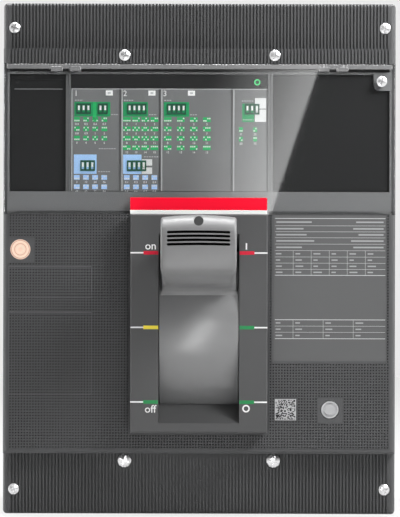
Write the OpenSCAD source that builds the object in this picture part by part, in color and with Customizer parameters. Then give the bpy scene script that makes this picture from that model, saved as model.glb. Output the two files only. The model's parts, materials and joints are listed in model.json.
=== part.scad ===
// Three-pole moulded circuit breaker with a toggle lever, a test button and an adjustable
// trip unit behind a clear cover.
// +Z is up, +X is to the right and the front faces -Y. The origin is the centre of the back
// mounting face. Depths are measured from that face towards the front.

/* [Housing] */
// Distance between the centres of two poles, which is a third of the width
pole_pitch = 70; // [68:1:90]
// Height from the lower end to the upper end
body_h = 275; // [272:0.2:340]
// Depth of the base moulding
base_d = 50; // [46:1:56]
// Depth to the face of the main cover
cover_d = 110; // [108:1:136]
// Distance from the face of the main cover back to the faces of the terminal covers
terminal_step = 10; // [6:1:16]
// Height of the raised surround above the face of the main cover
surround_rise = 15; // [12:1:18]
// Radius along the long outer edges
edge_r = 2.5; // [1:0.5:4]
// Height of the terminal cover at the line end
line_cover_h = 25.2; // [23:0.2:30]
// Height of the terminal cover at the load end
load_cover_h = 33.2; // [30:0.2:36]
// Distance that the terminal covers stand out beside the main cover
cover_flange = 0.6; // [0:0.1:1]
// Radius along the ends of the terminal covers
end_r = 2; // [1:0.5:3]
// Gap between two covers
seam_gap = 0.2; // [0.1:0.1:0.5]

/* [Ribs] */
// Distance from one rib to the next
rib_pitch = 1.8; // [1.6:0.1:3]
// Width of the groove between two ribs
rib_groove_w = 0.9; // [0.4:0.1:1]
// Depth of the groove between two ribs
rib_groove_d = 1.2; // [0.3:0.1:1.6]
// Height of the ribbed strip above the clear cover
rib_strip_h = 8; // [7:0.5:10]

/* [Window] */
// Height of the clear cover
clear_cover_h = 80.2; // [78:0.2:88]
// Thickness of the clear cover
clear_cover_t = 2; // [1.5:0.1:3]
// Radius along the clear cover's side edges
clear_edge_r = 1.2; // [0.5:0.1:1.4]
// Space between the clear cover and its seat
clear_cover_gap = 0.8; // [0.6:0.1:1.5]
// Width of the rim behind the clear cover
clear_rim_w = 1.8; // [1:0.1:2.2]
// Distance from the ribbed strip to the hinge slot
hinge_slot_drop = 2.5; // [1.5:0.1:3]
// Height of the hinge slot
hinge_slot_h = 1.6; // [1.5:0.1:3]
// Distance from the centre line to each hinge
hinge_x = 71.4; // [60:0.1:76]
// Height of the rail between the hinge slot and the window
window_rail_h = 1.3; // [0.8:0.1:2]
// Height of the smooth band under the window
band_h = 12.1; // [10:0.1:16]
// Depth of the window below the seat of the clear cover
window_depth = 6.4; // [5:0.2:10]
// Distance from the side of the housing to the window's frame
frame_inset = 2.1; // [1:0.1:4]
// Width of the frame beside the window
frame_side_w = 1; // [0.8:0.1:4]
// Width of the divider between two panels
divider_w = 2.4; // [2:0.1:4]
// Width of the trip unit
trip_unit_w = 106; // [102:0.2:128]
// Centre of the trip unit, from the centre line
trip_unit_x = -16.2; // [-20:0.2:-10]
// Height of the dark header on the trip unit
header_h = 7.5; // [6:0.1:10]
// Distance between two setting switches
switch_pitch = 2.54; // [2.54:0.01:2.8]

/* [Surround and slot] */
// Width of the raised surround
surround_w = 72.6; // [62:0.2:90]
// Distance from the clear cover's lower edge to the lever's pivot
pivot_drop = 60.8; // [60.8:0.1:75]
// Half of the angle of the slot at the skirt
throat_angle = 42; // [36:1:43]
// Distance that each end of the slot widens towards the front
slot_taper = 10; // [5:0.5:11]
// Height of the rail under the slot
surround_rail_h = 5.1; // [4:0.1:10]
// Radius along the surround's outer edges
surround_r = 0.8; // [0.3:0.1:2]

/* [Lever] */
// Swing of the lever to each side of its middle position
lever_swing = 25; // [20:1:25]
// Radius of the skirt on the lever
skirt_r = 60; // [50:0.5:60]
// Thickness of the skirt
skirt_t = 3.5; // [2:0.5:5]
// Width of the skirt
skirt_w = 42; // [40:0.2:52]
// Diameter of the hub that the skirt turns on
hub_d = 24; // [18:1:30]
// Thickness of each web between the hub and the skirt
web_t = 4; // [2:0.5:6]
// Half of the angle that a web spans
web_half_angle = 35; // [20:1:37]
// Clearance at each side of the skirt
lever_side_gap = 0.4; // [0.3:0.1:1]
// Clearance in front of the skirt
skirt_gap = 0.7; // [0.5:0.1:1]
// Distance from the face of the surround to the lever's tip, when on
grip_reach = 41; // [38:0.5:46]
// Width of the lever's grip
grip_w = 40; // [36:0.2:41]
// Radius along the side edges of the grip
grip_edge_r = 1.6; // [0.8:0.1:2]
// Rise of the grip's arched upper edge at the middle
grip_arch = 1.1; // [0:0.1:2.5]
// Number of finger grooves in the grip
groove_count = 4; // [2:1:5]
// Length of a finger groove
groove_l = 32.6; // [24:0.2:35]
// Width of a finger groove
groove_w = 1.3; // [0.8:0.1:1.4]
// Depth of a finger groove
groove_depth = 5; // [2:0.5:6]
// Distance from one finger groove to the next
groove_pitch = 2.1; // [1.9:0.1:2.8]
// Diameter of the hole through the grip's upper edge
grip_hole_d = 5; // [3:0.1:5.4]
// Diameter of the pivot pin
pin_d = 8; // [6:0.5:10]
// Running clearance round the pivot pin
pin_fit = 0.06; // [0.02:0.01:0.1]
// Length of the pivot pin in each wall
pin_seat = 7; // [4:0.5:9]

/* [Terminals] */
// Width of a terminal bay
bay_w = 50; // [46:0.5:52]
// Length of a terminal bay
bay_l = 29.7; // [28:0.1:30]
// Depth of the floor of a terminal bay
bay_floor_d = 14; // [12:0.5:18]
// Depth of the back of a terminal bar
bar_d = 26; // [24:0.5:30]
// Thickness of a terminal bar
bar_t = 6; // [4:0.5:10]
// Width of a terminal bar
bar_w = 48; // [40:0.5:48]
// Length of the terminal bar inside the base
bar_seat = 12; // [8:0.5:20]
// Distance from the end of the base to the end of the terminal bar
bar_setback = 2; // [1:0.5:4]
// Diameter of the bolt holes in a terminal bar
bar_hole_d = 11; // [9:0.5:13]
// Distance between the bolt holes in a terminal bar
bar_hole_pitch = 25; // [20:0.5:28]
// Distance from the end of the base to the bolt holes
bar_hole_inset = 14; // [12:0.5:16]
// Thickness of the front wall of a terminal cover
cover_wall = 4; // [3:0.5:6]
// Thickness of the end wall of a terminal cover
end_wall = 3; // [2:0.5:4]
// Height of the opening at the end, in front of the base
mouth_d = 8; // [5:0.5:12]
// Width of a gas vent
vent_w = 4; // [2:0.5:6]
// Width of the slots for the pole barriers
barrier_w = 3; // [2:0.5:4]
// Length of the slots for the pole barriers
barrier_l = 8.5; // [6:0.5:9]

/* [Fixings] */
// Distance from the end of the base to the mounting holes
mount_inset = 17.5; // [16:0.1:20]
// Diameter of the mounting holes
mount_hole_d = 5.5; // [4.5:0.1:6.5]
// Diameter of the recess for the head of a mounting screw
mount_head_d = 11; // [9:0.5:12]
// Thickness of the base under the head of a mounting screw
mount_seat_t = 20; // [10:1:30]
// Diameter of the heads of the cover screws
screw_head_d = 6; // [4.5:0.1:6.5]
// Diameter of the heads of the two large screws
large_head_d = 7.6; // [6:0.1:8]
// Diameter of the head of the clear cover's screw
seal_head_d = 5.6; // [4:0.1:6]
// Height of a screw's head
screw_head_h = 2.6; // [2:0.1:3]
// Width of the cross recess in a screw's head
cross_w = 0.9; // [0.6:0.1:1.2]
// Depth of the cross recess in a screw's head
cross_depth = 1.3; // [0.8:0.1:1.6]
// Diameter of the screw shanks
screw_shank_d = 3.5; // [2.5:0.1:4]
// Clearance round a screw
screw_fit = 0.2; // [0.1:0.05:0.4]
// Length of a screw in the base
screw_grip = 14; // [8:1:20]
// Distance from the side of the housing to the corner screws
corner_screw_x = 5.1; // [5:0.1:8]
// Distance from the end of the housing to the corner screws
corner_screw_z = 13.2; // [11:0.1:16]
// Distance from the middle of a pole wall to the inner screws
inner_screw_x = 5.2; // [3:0.1:6]

/* [Button and plates] */
// Diameter of the test button
button_d = 9.3; // [7:0.1:12]
// Travel of the test button
button_travel = 3; // [2:0.5:4]
// Distance from the side of the surround to the test button
button_x = 33.8; // [24:0.2:40]
// Distance from the main cover's lower edge to the test button
button_z = 23.7; // [15:0.1:32]
// Thickness of the plates let into the main cover
plate_t = 0.3; // [0.2:0.1:0.6]
// Height of the data plate
data_plate_h = 77.8; // [60:0.2:80]
// Width of the square code plate
code_plate_w = 11.3; // [8:0.1:16]
// Diameter of the round seal
seal_d = 10.7; // [8:0.1:14]

/* [Hidden] */
$fn = 64;
eps = 0.01;
poles = [-1, 0, 1];
sides = [-1, 1];
body_w = 3 * pole_pitch;
half_w = body_w / 2;
z_top = body_h / 2;
z_bottom = -body_h / 2;
terminal_d = cover_d - terminal_step;
surround_d = cover_d + surround_rise;
main_top = z_top - line_cover_h;
main_bottom = z_bottom + load_cover_h;

strip_bottom = main_top - rib_strip_h;
clear_top = strip_bottom - 0.3;
clear_bottom = clear_top - clear_cover_h;
clear_face_d = cover_d;
clear_back_d = clear_face_d - clear_cover_t;
clear_seat_d = clear_back_d - clear_cover_gap;
hinge_slot_top = strip_bottom - hinge_slot_drop;
window_top = hinge_slot_top - hinge_slot_h - window_rail_h;
window_bottom = clear_bottom + band_h;
window_floor_d = clear_seat_d - window_depth;
frame_half = half_w - frame_inset;
window_half = frame_half - frame_side_w;
trip_left = trip_unit_x - trip_unit_w / 2;
trip_right = trip_unit_x + trip_unit_w / 2;
trip_face_d = clear_seat_d - 1;
panel_face_d = clear_seat_d - 2;
panel_fit = 0.3;
frame_fit = 0.1;
seal_x = half_w - 7.6;
seal_z = window_top - 3.9;
seal_lug = 8.6;
hinge_gap = 4.5;
hinge_lug = 5.8;

pivot_d = surround_d - skirt_r;
pivot_z = clear_bottom - pivot_drop;
chamber_r = skirt_r + skirt_gap;
skirt_reach = throat_angle + lever_swing + 5;
slot_w = skirt_w + 2 * lever_side_gap;
throat_half = skirt_r * sin(throat_angle);
throat_d = pivot_d + skirt_r * cos(throat_angle) - 1;
slot_half_h = throat_half + slot_taper;
surround_bottom = pivot_z - slot_half_h - surround_rail_h;

inner_x = pole_pitch / 2 + inner_screw_x;
inner_z = strip_bottom + rib_strip_h / 2 + 0.6;
load_screw_z = main_bottom - large_head_d / 2 - 0.7;
head_gap = 0.25;
head_recess = 2;
cross_reach = 0.36;

button_centre = [surround_w / 2 + button_x, main_bottom + button_z];
button_well_d = button_travel + 12;
data_left = surround_w / 2 + 3.7;
data_right = half_w - 4.8;
code_left = surround_w / 2 + 4.4;
code_bottom = main_bottom + 18;
seal_centre = [-half_w + 9.3, clear_bottom - 19];

// Centre from the centre line, distance below the window's upper edge, number of levers.
switch_rows = [
    [-62.2, 18.6, 3], [-51.9, 18.6, 2], [-33.7, 18.6, 4], [-12.4, 18.6, 4], [28.2, 18.6, 3],
    [-60, 49.1, 3], [-33.7, 49.1, 4]
];
// Grooves between the columns of the trip unit, and the lights, from the centre line.
column_x = [-42.8, -21.5, 17.1];
light_x = [-48.5, -25.6, -4.4];

// ---- shared shapes ----

// Extrudes an outline drawn as x and z, from one depth to another.
module from_front(near, far) {
    translate([0, -near, 0])
        rotate([90, 0, 0])
            linear_extrude(height = far - near)
                children();
}

// Extrudes an outline drawn as depth and z, centred across the width.
module from_side(width) {
    mirror([0, 1, 0])
        rotate([90, 0, 90])
            linear_extrude(height = width, center = true)
                children();
}

// Extrudes an outline drawn as x and depth, from one height to another.
module from_end(z0, z1) {
    translate([0, 0, z0])
        mirror([0, 1, 0])
            linear_extrude(height = z1 - z0)
                children();
}

module box(x0, x1, near, far, z0, z1) {
    translate([x0, -far, z0])
        cube([x1 - x0, far - near, z1 - z0]);
}

// A round bar or hole along the depth.
module rod(x, z, near, far, d) {
    translate([x, -near, z])
        rotate([90, 0, 0])
            cylinder(h = far - near, d = d);
}

// A round bar or hole across the width, at the lever's pivot.
module pivot_rod(width, d) {
    translate([0, -pivot_d, pivot_z])
        rotate([0, 90, 0])
            cylinder(h = width, d = d, center = true);
}

module rounded_outline(w, h, r) {
    square([w - 2 * r, h], center = true);
    square([w, h - 2 * r], center = true);
    for (sx = sides, sz = sides)
        translate([sx * (w / 2 - r), sz * (h / 2 - r)])
            circle(r);
}

// A section seen from the end, with round edges at the front.
module front_rounded_section(w, near, far, r) {
    translate([-w / 2, near])
        square([w, far - near - r]);
    translate([-w / 2 + r, near])
        square([w - 2 * r, far - near]);
    for (side = sides)
        translate([side * (w / 2 - r), far - r])
            circle(r);
}

// The same section with grooves that leave a row of ribs.
module ribbed_section(w, near, far) {
    count = floor((body_w - 2 * edge_r) / rib_pitch);
    difference() {
        front_rounded_section(w, near, far, edge_r);
        for (i = [0 : count - 1])
            translate([(i - (count - 1) / 2) * rib_pitch - rib_groove_w / 2, far - rib_groove_d])
                square([rib_groove_w, rib_groove_d + 1]);
    }
}

// Places its children at the line end and, mirrored, at the load end.
module both_ends() {
    children();
    mirror([0, 0, 1])
        children();
}

// ---- screws and their holes ----

// A clearance hole with a recess for the head, through a cover to the base.
module screw_path(x, z, face_d, head_d) {
    rod(x, z, base_d - 1, face_d + 1, screw_shank_d + 2 * screw_fit);
    rod(x, z, face_d - head_recess, face_d + 1, head_d + 2 * head_gap);
}

module screw_pilot(x, z) {
    rod(x, z, base_d - screw_grip - 1, base_d + 1, screw_shank_d + 2 * screw_fit);
}

// A domed screw head, turned about the depth axis.
module domed_head(seat_d, head_d) {
    cap_r = head_d * 0.9;
    rotate([90, 0, 0])
        rotate_extrude()
            intersection() {
                translate([0, seat_d])
                    square([head_d / 2, screw_head_h]);
                translate([0, seat_d + screw_head_h - cap_r])
                    circle(cap_r);
            }
}

// A screw with a cross recess. Depths are those of its tip and of the underside of its head.
module screw(x, z, tip_d, seat_d, head_d) {
    top_d = seat_d + screw_head_h;
    reach = head_d * cross_reach;
    half = cross_w / 2;
    rod(x, z, tip_d, seat_d + eps, screw_shank_d);
    translate([x, 0, z])
        difference() {
            domed_head(seat_d, head_d);
            for (turn = [20, 110])
                rotate([0, turn, 0])
                    box(-reach, reach, top_d - cross_depth, top_d + 1, -half, half);
        }
}

// ---- base ----

// The space round a terminal bar, inside the base.
module base_bay(pole) {
    x = pole * pole_pitch;
    box(x - bay_w / 2, x + bay_w / 2, bay_floor_d, base_d + 1, z_top - bay_l, z_top + 1);
}

// The pocket that holds the inner end of a terminal bar.
module bar_pocket(pole) {
    x = pole * pole_pitch;
    half = bar_w / 2 + seam_gap;
    box(x - half, x + half, bar_d - seam_gap, bar_d + bar_t + seam_gap,
        z_top - bay_l - bar_seat - seam_gap, z_top - bay_l + 1);
}

// A slot for the plate that separates two poles.
module barrier_slot(side, near, far) {
    x = side * pole_pitch / 2;
    box(x - barrier_w / 2, x + barrier_w / 2, near, far, z_top - barrier_l, z_top + 1);
}

module mounting_hole(side) {
    x = side * pole_pitch / 2;
    z = z_top - mount_inset;
    rod(x, z, -1, base_d + 1, mount_hole_d);
    rod(x, z, mount_seat_t, base_d + 1, mount_head_d);
}

// Shallow hollows that keep the back face flat where it bears.
module back_reliefs() {
    relief_h = body_h / 2 - 64;
    for (pole = poles)
        translate([pole * pole_pitch, 0, 20 + relief_h / 2])
            from_front(-1, 3)
                rounded_outline(pole_pitch - 16, relief_h, 4);
}

module base() {
    reveal = 0.5;
    color("#2e3032")
        difference() {
            union() {
                from_front(0, base_d - reveal)
                    rounded_outline(body_w, body_h, edge_r);
                from_front(base_d - reveal - eps, base_d)
                    rounded_outline(body_w - 2 * reveal, body_h - 2 * reveal, edge_r);
            }
            both_ends() {
                for (pole = poles) {
                    base_bay(pole);
                    bar_pocket(pole);
                }
                for (side = sides) {
                    barrier_slot(side, 6, base_d + 1);
                    mounting_hole(side);
                    screw_pilot(side * (half_w - corner_screw_x), z_top - corner_screw_z);
                }
                back_reliefs();
            }
            for (side = sides) {
                screw_pilot(side * inner_x, inner_z);
                screw_pilot(side * inner_x, load_screw_z);
            }
            lever_chamber();
        }
}

// ---- main cover ----

// The hollow that the skirt turns in, open towards the base.
module lever_chamber() {
    pivot_rod(slot_w, 2 * chamber_r);
    box(-slot_w / 2, slot_w / 2, base_d - eps, pivot_d, pivot_z - chamber_r, pivot_z + chamber_r);
}

// The slot in front of the skirt, which widens towards the front.
module lever_slot() {
    from_side(slot_w)
        polygon([
            [pivot_d, pivot_z - throat_half],
            [throat_d, pivot_z - throat_half],
            [surround_d, pivot_z - slot_half_h],
            [surround_d + 1, pivot_z - slot_half_h],
            [surround_d + 1, pivot_z + slot_half_h],
            [surround_d, pivot_z + slot_half_h],
            [throat_d, pivot_z + throat_half],
            [pivot_d, pivot_z + throat_half]
        ]);
}

// The lowered seat of the clear cover and the hollow for the window's frame.
module window_recess() {
    box(-half_w - 1, half_w + 1, clear_seat_d, cover_d + 1, clear_bottom - 0.1, strip_bottom);
    box(-frame_half - frame_fit, frame_half + frame_fit, window_floor_d, cover_d,
        clear_bottom - frame_fit, strip_bottom);
}

// A fine groove round the cover of an accessory space.
module outline_groove(x0, x1, z0, z1) {
    w = 0.5;
    d = 0.4;
    difference() {
        box(x0, x1, cover_d - d, cover_d + 1, z0, z1);
        box(x0 + w, x1 - w, cover_d - d - 1, cover_d + 2, z0 + w, z1 - w);
    }
}

module accessory_outlines() {
    x0 = -half_w + 2.9;
    x1 = -surround_w / 2 - 21.1;
    outline_groove(x0, x1, clear_bottom - 44.9, clear_bottom - 28);
    outline_groove(x0, x1, clear_bottom - 96.8, clear_bottom - 52.4);
}

module button_well() {
    rod(button_centre[0], button_centre[1], cover_d - button_well_d, cover_d + 1, button_d + 0.8);
}

module main_block() {
    from_end(main_bottom, strip_bottom)
        front_rounded_section(body_w, base_d, cover_d, edge_r);
    from_end(strip_bottom, main_top)
        ribbed_section(body_w, base_d, cover_d);
}

// Takes the main cover's lower front edge off at a slant.
module lower_bevel() {
    bevel = 1.4;
    from_side(body_w + 2)
        polygon([
            [cover_d - bevel, main_bottom - eps],
            [cover_d + 1, main_bottom - eps],
            [cover_d + 1, main_bottom + bevel + 1]
        ]);
}

module main_cover() {
    color("#3b3d3f")
        difference() {
            main_block();
            window_recess();
            lever_chamber();
            lever_slot();
            lower_bevel();
            pivot_rod(slot_w + 2 * pin_seat, pin_d + 2 * pin_fit);
            button_well();
            accessory_outlines();
            data_plate_shape(eps);
            code_plate_shape(eps);
            round_seal_shape(eps);
            for (side = sides)
                screw_path(side * inner_x, inner_z, cover_d, screw_head_d);
            seal_screw_hole(clear_seat_d - 12);
        }
}

// ---- the window's frame ----

// The space for one panel in the window's frame.
module panel_opening(x0, x1) {
    box(x0, x1, window_floor_d - 1, clear_seat_d + 1, window_bottom, window_top);
}

// A groove between the two thin walls of a divider, beside the trip unit.
module divider_groove(x) {
    wall = divider_w * 0.36;
    box(x + wall, x + divider_w - wall, clear_seat_d - 1.5, clear_seat_d + 1, window_bottom,
        window_top);
}

// The corner of the window that takes the clear cover's screw.
module seal_corner(inset) {
    corner_r = 3;
    x = window_half - seal_lug + inset;
    z = window_top - seal_lug + inset;
    difference() {
        box(x, window_half + eps, window_floor_d, clear_seat_d, z, window_top + eps);
        difference() {
            box(x - 1, x + corner_r, 0, cover_d, z - 1, z + corner_r);
            rod(x + corner_r, z + corner_r, -1, cover_d + 1, 2 * corner_r);
        }
    }
}

module seal_screw_hole(near) {
    rod(seal_x, seal_z, near, cover_d + 1, screw_shank_d + 2 * screw_fit);
}

// The slot that the clear cover hooks into, with a pair of lugs at each hinge.
module hinge_slot() {
    difference() {
        box(-window_half, window_half, clear_seat_d - 4, clear_seat_d + 1,
            hinge_slot_top - hinge_slot_h, hinge_slot_top);
        for (hinge = sides, side = sides) {
            x = hinge * hinge_x + side * (hinge_gap + hinge_lug) / 2;
            box(x - hinge_lug / 2, x + hinge_lug / 2, 0, clear_seat_d, hinge_slot_top - 5,
                hinge_slot_top + 5);
        }
    }
}

module window_frame() {
    color("#6b6d6f")
        difference() {
            union() {
                difference() {
                    box(-frame_half, frame_half, window_floor_d, clear_seat_d, clear_bottom,
                        strip_bottom - frame_fit);
                    panel_opening(-window_half, trip_left - divider_w);
                    panel_opening(trip_left, trip_right);
                    panel_opening(trip_right + divider_w, window_half);
                    divider_groove(trip_left - divider_w);
                    divider_groove(trip_right);
                    hinge_slot();
                }
                seal_corner(0);
            }
            seal_screw_hole(window_floor_d - 1);
        }
}

// ---- terminal covers ----

// The space in front of a terminal bar, inside a terminal cover.
module cover_bay(pole, height) {
    x = pole * pole_pitch;
    z0 = z_top - min(bay_l, height);
    box(x - bay_w / 2, x + bay_w / 2, base_d - 1, base_d + mouth_d, z0, z_top + 1);
    box(x - bay_w / 2, x + bay_w / 2, base_d - 1, terminal_d - cover_wall, z0, z_top - end_wall);
}

// Slots in the end wall that let the arc gas out.
module vents(pole) {
    count = 5;
    for (i = [0 : count - 1]) {
        x = pole * pole_pitch + (i - (count - 1) / 2) * bay_w / count;
        box(x - vent_w / 2, x + vent_w / 2, base_d + mouth_d + 6, terminal_d - cover_wall - 8,
            z_top - end_wall - 1, z_top + 1);
    }
}

// Takes the corners off the housing's outline at its end.
module end_corners() {
    for (side = sides)
        translate([side * (half_w + cover_flange - edge_r), 0, z_top - edge_r])
            difference() {
                box(min(0, side * 5), max(0, side * 5), 0, cover_d, 0, 5);
                rod(0, 0, -1, cover_d + 1, 2 * edge_r);
            }
}

// Takes the front edge of a terminal cover's end wall off in a quarter circle.
module end_rounding() {
    from_side(body_w + 10)
        translate([terminal_d - end_r, z_top - end_r])
            difference() {
                square(end_r + 1);
                circle(end_r);
            }
}

module terminal_cover(height) {
    difference() {
        from_end(z_top - height, z_top)
            ribbed_section(body_w + 2 * cover_flange, base_d, terminal_d);
        end_corners();
        end_rounding();
        for (pole = poles) {
            cover_bay(pole, height);
            vents(pole);
        }
        for (side = sides) {
            barrier_slot(side, base_d - 1, terminal_d - cover_wall);
            screw_path(side * (half_w - corner_screw_x), z_top - corner_screw_z, terminal_d,
                screw_head_d);
        }
    }
}

module line_terminal_cover() {
    color("#35373a")
        terminal_cover(line_cover_h - seam_gap);
}

module load_terminal_cover() {
    color("#35373a")
        difference() {
            mirror([0, 0, 1])
                terminal_cover(load_cover_h - seam_gap);
            for (side = sides)
                screw_path(side * inner_x, load_screw_z, terminal_d, large_head_d);
        }
}

// ---- surround ----

module surround() {
    top = clear_bottom - seam_gap;
    mid = (top + surround_bottom) / 2;
    height = top - surround_bottom;
    color("#4a4c4e")
        difference() {
            intersection() {
                from_end(surround_bottom, top)
                    front_rounded_section(surround_w, cover_d, surround_d, surround_r);
                translate([0, 0, mid])
                    rotate([0, 90, 0])
                        from_end(-surround_w / 2, surround_w / 2)
                            front_rounded_section(height, cover_d, surround_d, surround_r);
            }
            lever_chamber();
            lever_slot();
        }
}

// ---- lever, drawn in its on position ----

// Extrudes an outline drawn from the pivot, turned to the lever's direction.
module from_pivot(width) {
    translate([0, -pivot_d, pivot_z])
        from_side(width)
            rotate(lever_swing)
                children();
}

module wedge(radius, half_angle) {
    polygon([
        [0, 0],
        [radius * cos(half_angle), -radius * sin(half_angle)],
        [radius * 1.5, -radius * 0.8],
        [radius * 1.5, radius * 0.8],
        [radius * cos(half_angle), radius * sin(half_angle)]
    ]);
}

module skirt_ring() {
    difference() {
        circle(skirt_r, $fn = 180);
        circle(skirt_r - skirt_t, $fn = 180);
    }
}

// Everything behind the two ends of the skirt.
module behind_skirt() {
    reach = 2 * skirt_r;
    polygon([
        [0, 0],
        [reach * cos(skirt_reach), reach * sin(skirt_reach)],
        [-reach, reach],
        [-reach, -reach],
        [reach * cos(skirt_reach), -reach * sin(skirt_reach)]
    ]);
}

// One of the two webs that join the skirt to the hub.
module web_outline() {
    intersection() {
        circle(skirt_r - skirt_t / 2, $fn = 180);
        union() {
            wedge(skirt_r, web_half_angle);
            circle(hub_d / 2 - 1);
        }
    }
}

module lever_skirt() {
    color("#5c5e60")
        difference() {
            union() {
                from_pivot(skirt_w)
                    difference() {
                        skirt_ring();
                        behind_skirt();
                    }
                pivot_rod(skirt_w, hub_d);
                for (side = sides)
                    translate([side * (skirt_w - web_t) / 2, 0, 0])
                        from_pivot(web_t)
                            web_outline();
            }
            pivot_rod(skirt_w + 2, pin_d + 2 * pin_fit);
        }
}

// Side view of the grip in the on position: depth from the pivot, height above the point where
// the lever's own direction meets the skirt, and half width. The first list runs along the
// underside and up the front, the second along the top.
grip_tip = skirt_r + grip_reach;
grip_base_z = skirt_r * sin(lever_swing);
grip_half = grip_w / 2;
grip_waist = grip_half - 0.4;
grip_root = skirt_w / 2;
grip_under = [
    [skirt_r - 8, -11.4, grip_root],
    [skirt_r - 2.2, -9.4, grip_root],
    [skirt_r + 3, -5.8, grip_waist + 0.9],
    [skirt_r + 9, -3.2, grip_waist],
    [grip_tip - 22, -1.8, grip_waist],
    [grip_tip - 12, 0.8, grip_waist],
    [grip_tip - 4.5, 4.6, grip_half - 0.2],
    [grip_tip - 0.8, 9, grip_half],
    [grip_tip, 13.6, grip_half],
    [grip_tip, 19.2, grip_half],
    [grip_tip - 0.2, 24.6, grip_half],
    [grip_tip - 1.8, 29.6, grip_half],
    [grip_tip - 5.6, 33.2, grip_half]
];
grip_over = [
    [skirt_r - 22, 6.6, grip_root],
    [skirt_r - 14.4, 11.6, grip_root],
    [skirt_r - 8, 14.6, grip_waist + 0.9],
    [skirt_r - 2, 17.2, grip_waist],
    [skirt_r + 5, 20.6, grip_waist],
    [skirt_r + 11, 23.8, grip_waist],
    [grip_tip - 24, 26.8, grip_waist + 0.1],
    [grip_tip - 20, 29.4, grip_waist + 0.2],
    [grip_tip - 17, 31.3, grip_half - 0.2],
    [grip_tip - 14.4, 32.7, grip_half],
    [grip_tip - 12.2, 33.7, grip_half],
    [grip_tip - 10.2, 34.3, grip_half],
    [grip_tip - 8, 34.3, grip_half]
];
// Heights in the same measure of the arched edge's start and top, the first finger groove and
// the hole.
arch_start = 18.6;
arch_top = 34.3;
first_groove = 25.6;
hole_height = 31.6;

// One point of a smooth curve through four points.
function spline_point(a, b, c, d, t) =
    0.5 * (2 * b + (c - a) * t + (2 * a - 5 * b + 4 * c - d) * t * t
        + (3 * b - a - 3 * c + d) * t * t * t);

// A smooth curve through a list of points, with some steps from each to the next.
function smooth(points, steps) =
    let (last = len(points) - 1)
    [
        for (i = [0 : last - 1], s = [0 : steps - 1])
            spline_point(points[max(i - 1, 0)], points[i], points[i + 1],
                points[min(i + 2, last)], s / steps),
        points[last]
    ];

function reversed(points) = [for (i = [len(points) - 1 : -1 : 0]) points[i]];

// The outward direction at a point of a closed loop that runs anticlockwise.
function outward(loop, i) =
    let (
        n = len(loop),
        ahead = loop[(i + 1) % n],
        behind = loop[(i + n - 1) % n],
        along = [ahead[0] - behind[0], ahead[1] - behind[1]]
    )
    [along[1], -along[0]] / norm(along);

// One slice of the grip. Its share of the half width is x, and turn goes from 0 to 90 round
// the side edge.
function grip_slice(loop, x, turn) =
    [
        for (i = [0 : len(loop) - 1])
            let (
                point = loop[i],
                away = outward(loop, i) * grip_edge_r * (1 - cos(turn)),
                half = point[2] - grip_edge_r * (1 - sin(turn)),
                lift = max(0, point[1] - arch_start) / (arch_top - arch_start)
            )
            [
                x * half,
                -(point[0] - away[0]),
                grip_base_z + point[1] - away[1] - grip_arch * lift * x * x
            ]
    ];

// The grip, lofted across its width from one rounded side to the other.
module grip_loft() {
    steps = 2;
    under = smooth(grip_under, steps);
    over = smooth(grip_over, steps);
    loop = concat(under, reversed(over));
    n = len(loop);
    half_n = len(under);
    turns = [90, 60, 30];
    slices = concat(
        [for (turn = turns) grip_slice(loop, -1, turn)],
        [for (x = [-1 : 0.25 : 1]) grip_slice(loop, x, 0)],
        [for (turn = reversed(turns)) grip_slice(loop, 1, turn)]
    );
    count = len(slices);
    last = (count - 1) * n;
    polyhedron(
        points = [for (slice = slices) each slice],
        faces = concat(
            [
                for (s = [0 : count - 2], i = [0 : n - 1])
                    let (
                        a = s * n + i,
                        b = s * n + (i + 1) % n
                    )
                    each [[a, b, b + n], [a, b + n, a + n]]
            ],
            [
                for (i = [0 : half_n - 2])
                    each [[i, n - 1 - i, n - 2 - i], [i, n - 2 - i, i + 1]]
            ],
            [
                for (i = [0 : half_n - 2])
                    each [[last + i, last + n - 2 - i, last + n - 1 - i],
                        [last + i, last + i + 1, last + n - 2 - i]]
            ]
        )
    );
}

// One slightly arched groove with round ends, seen from the front.
module groove_outline() {
    arch_r = 420;
    end_x = (groove_l - groove_w) / 2;
    translate([0, -arch_r]) {
        intersection() {
            difference() {
                circle(arch_r + groove_w / 2, $fn = 360);
                circle(arch_r - groove_w / 2, $fn = 360);
            }
            translate([-end_x, arch_r - 4])
                square([2 * end_x, 8]);
        }
        for (side = sides)
            translate([side * end_x, sqrt(arch_r * arch_r - end_x * end_x)])
                circle(groove_w / 2);
    }
}

// The grooves across the front of the grip.
module finger_grooves() {
    for (i = [0 : groove_count - 1])
        translate([0, -grip_tip, grip_base_z + first_groove - i * groove_pitch])
            from_front(-groove_depth, 2)
                groove_outline();
}

module lever_grip() {
    color("#8f9193")
        translate([0, -pivot_d, pivot_z])
            difference() {
                grip_loft();
                rotate([0, 90, 0])
                    cylinder(h = skirt_w + 2, r = skirt_r + 0.03, center = true, $fn = 180);
                finger_grooves();
                rod(0, grip_base_z + hole_height, skirt_r, grip_tip + 1, grip_hole_d);
            }
}

module lever_pin() {
    color("silver")
        pivot_rod(slot_w + 2 * pin_seat - 0.4, pin_d);
}

// ---- button ----

module test_button() {
    x = button_centre[0];
    z = button_centre[1];
    color("#b5b7b9")
        difference() {
            rod(x, z, cover_d - button_well_d + button_travel + 0.5, cover_d + 0.3, button_d);
            difference() {
                rod(x, z, cover_d - 0.2, cover_d + 1, button_d - 1.8);
                rod(x, z, cover_d - 1, cover_d + 2, button_d - 3.4);
            }
        }
}

// ---- clear cover ----

// A tongue that hooks into the hinge slot, between two lugs.
module hinge_tongue(x) {
    half = hinge_gap * 0.18;
    box(x - half, x + half, clear_seat_d - 3, clear_back_d + eps,
        hinge_slot_top - hinge_slot_h + 0.2, hinge_slot_top - 0.2);
}

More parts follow.
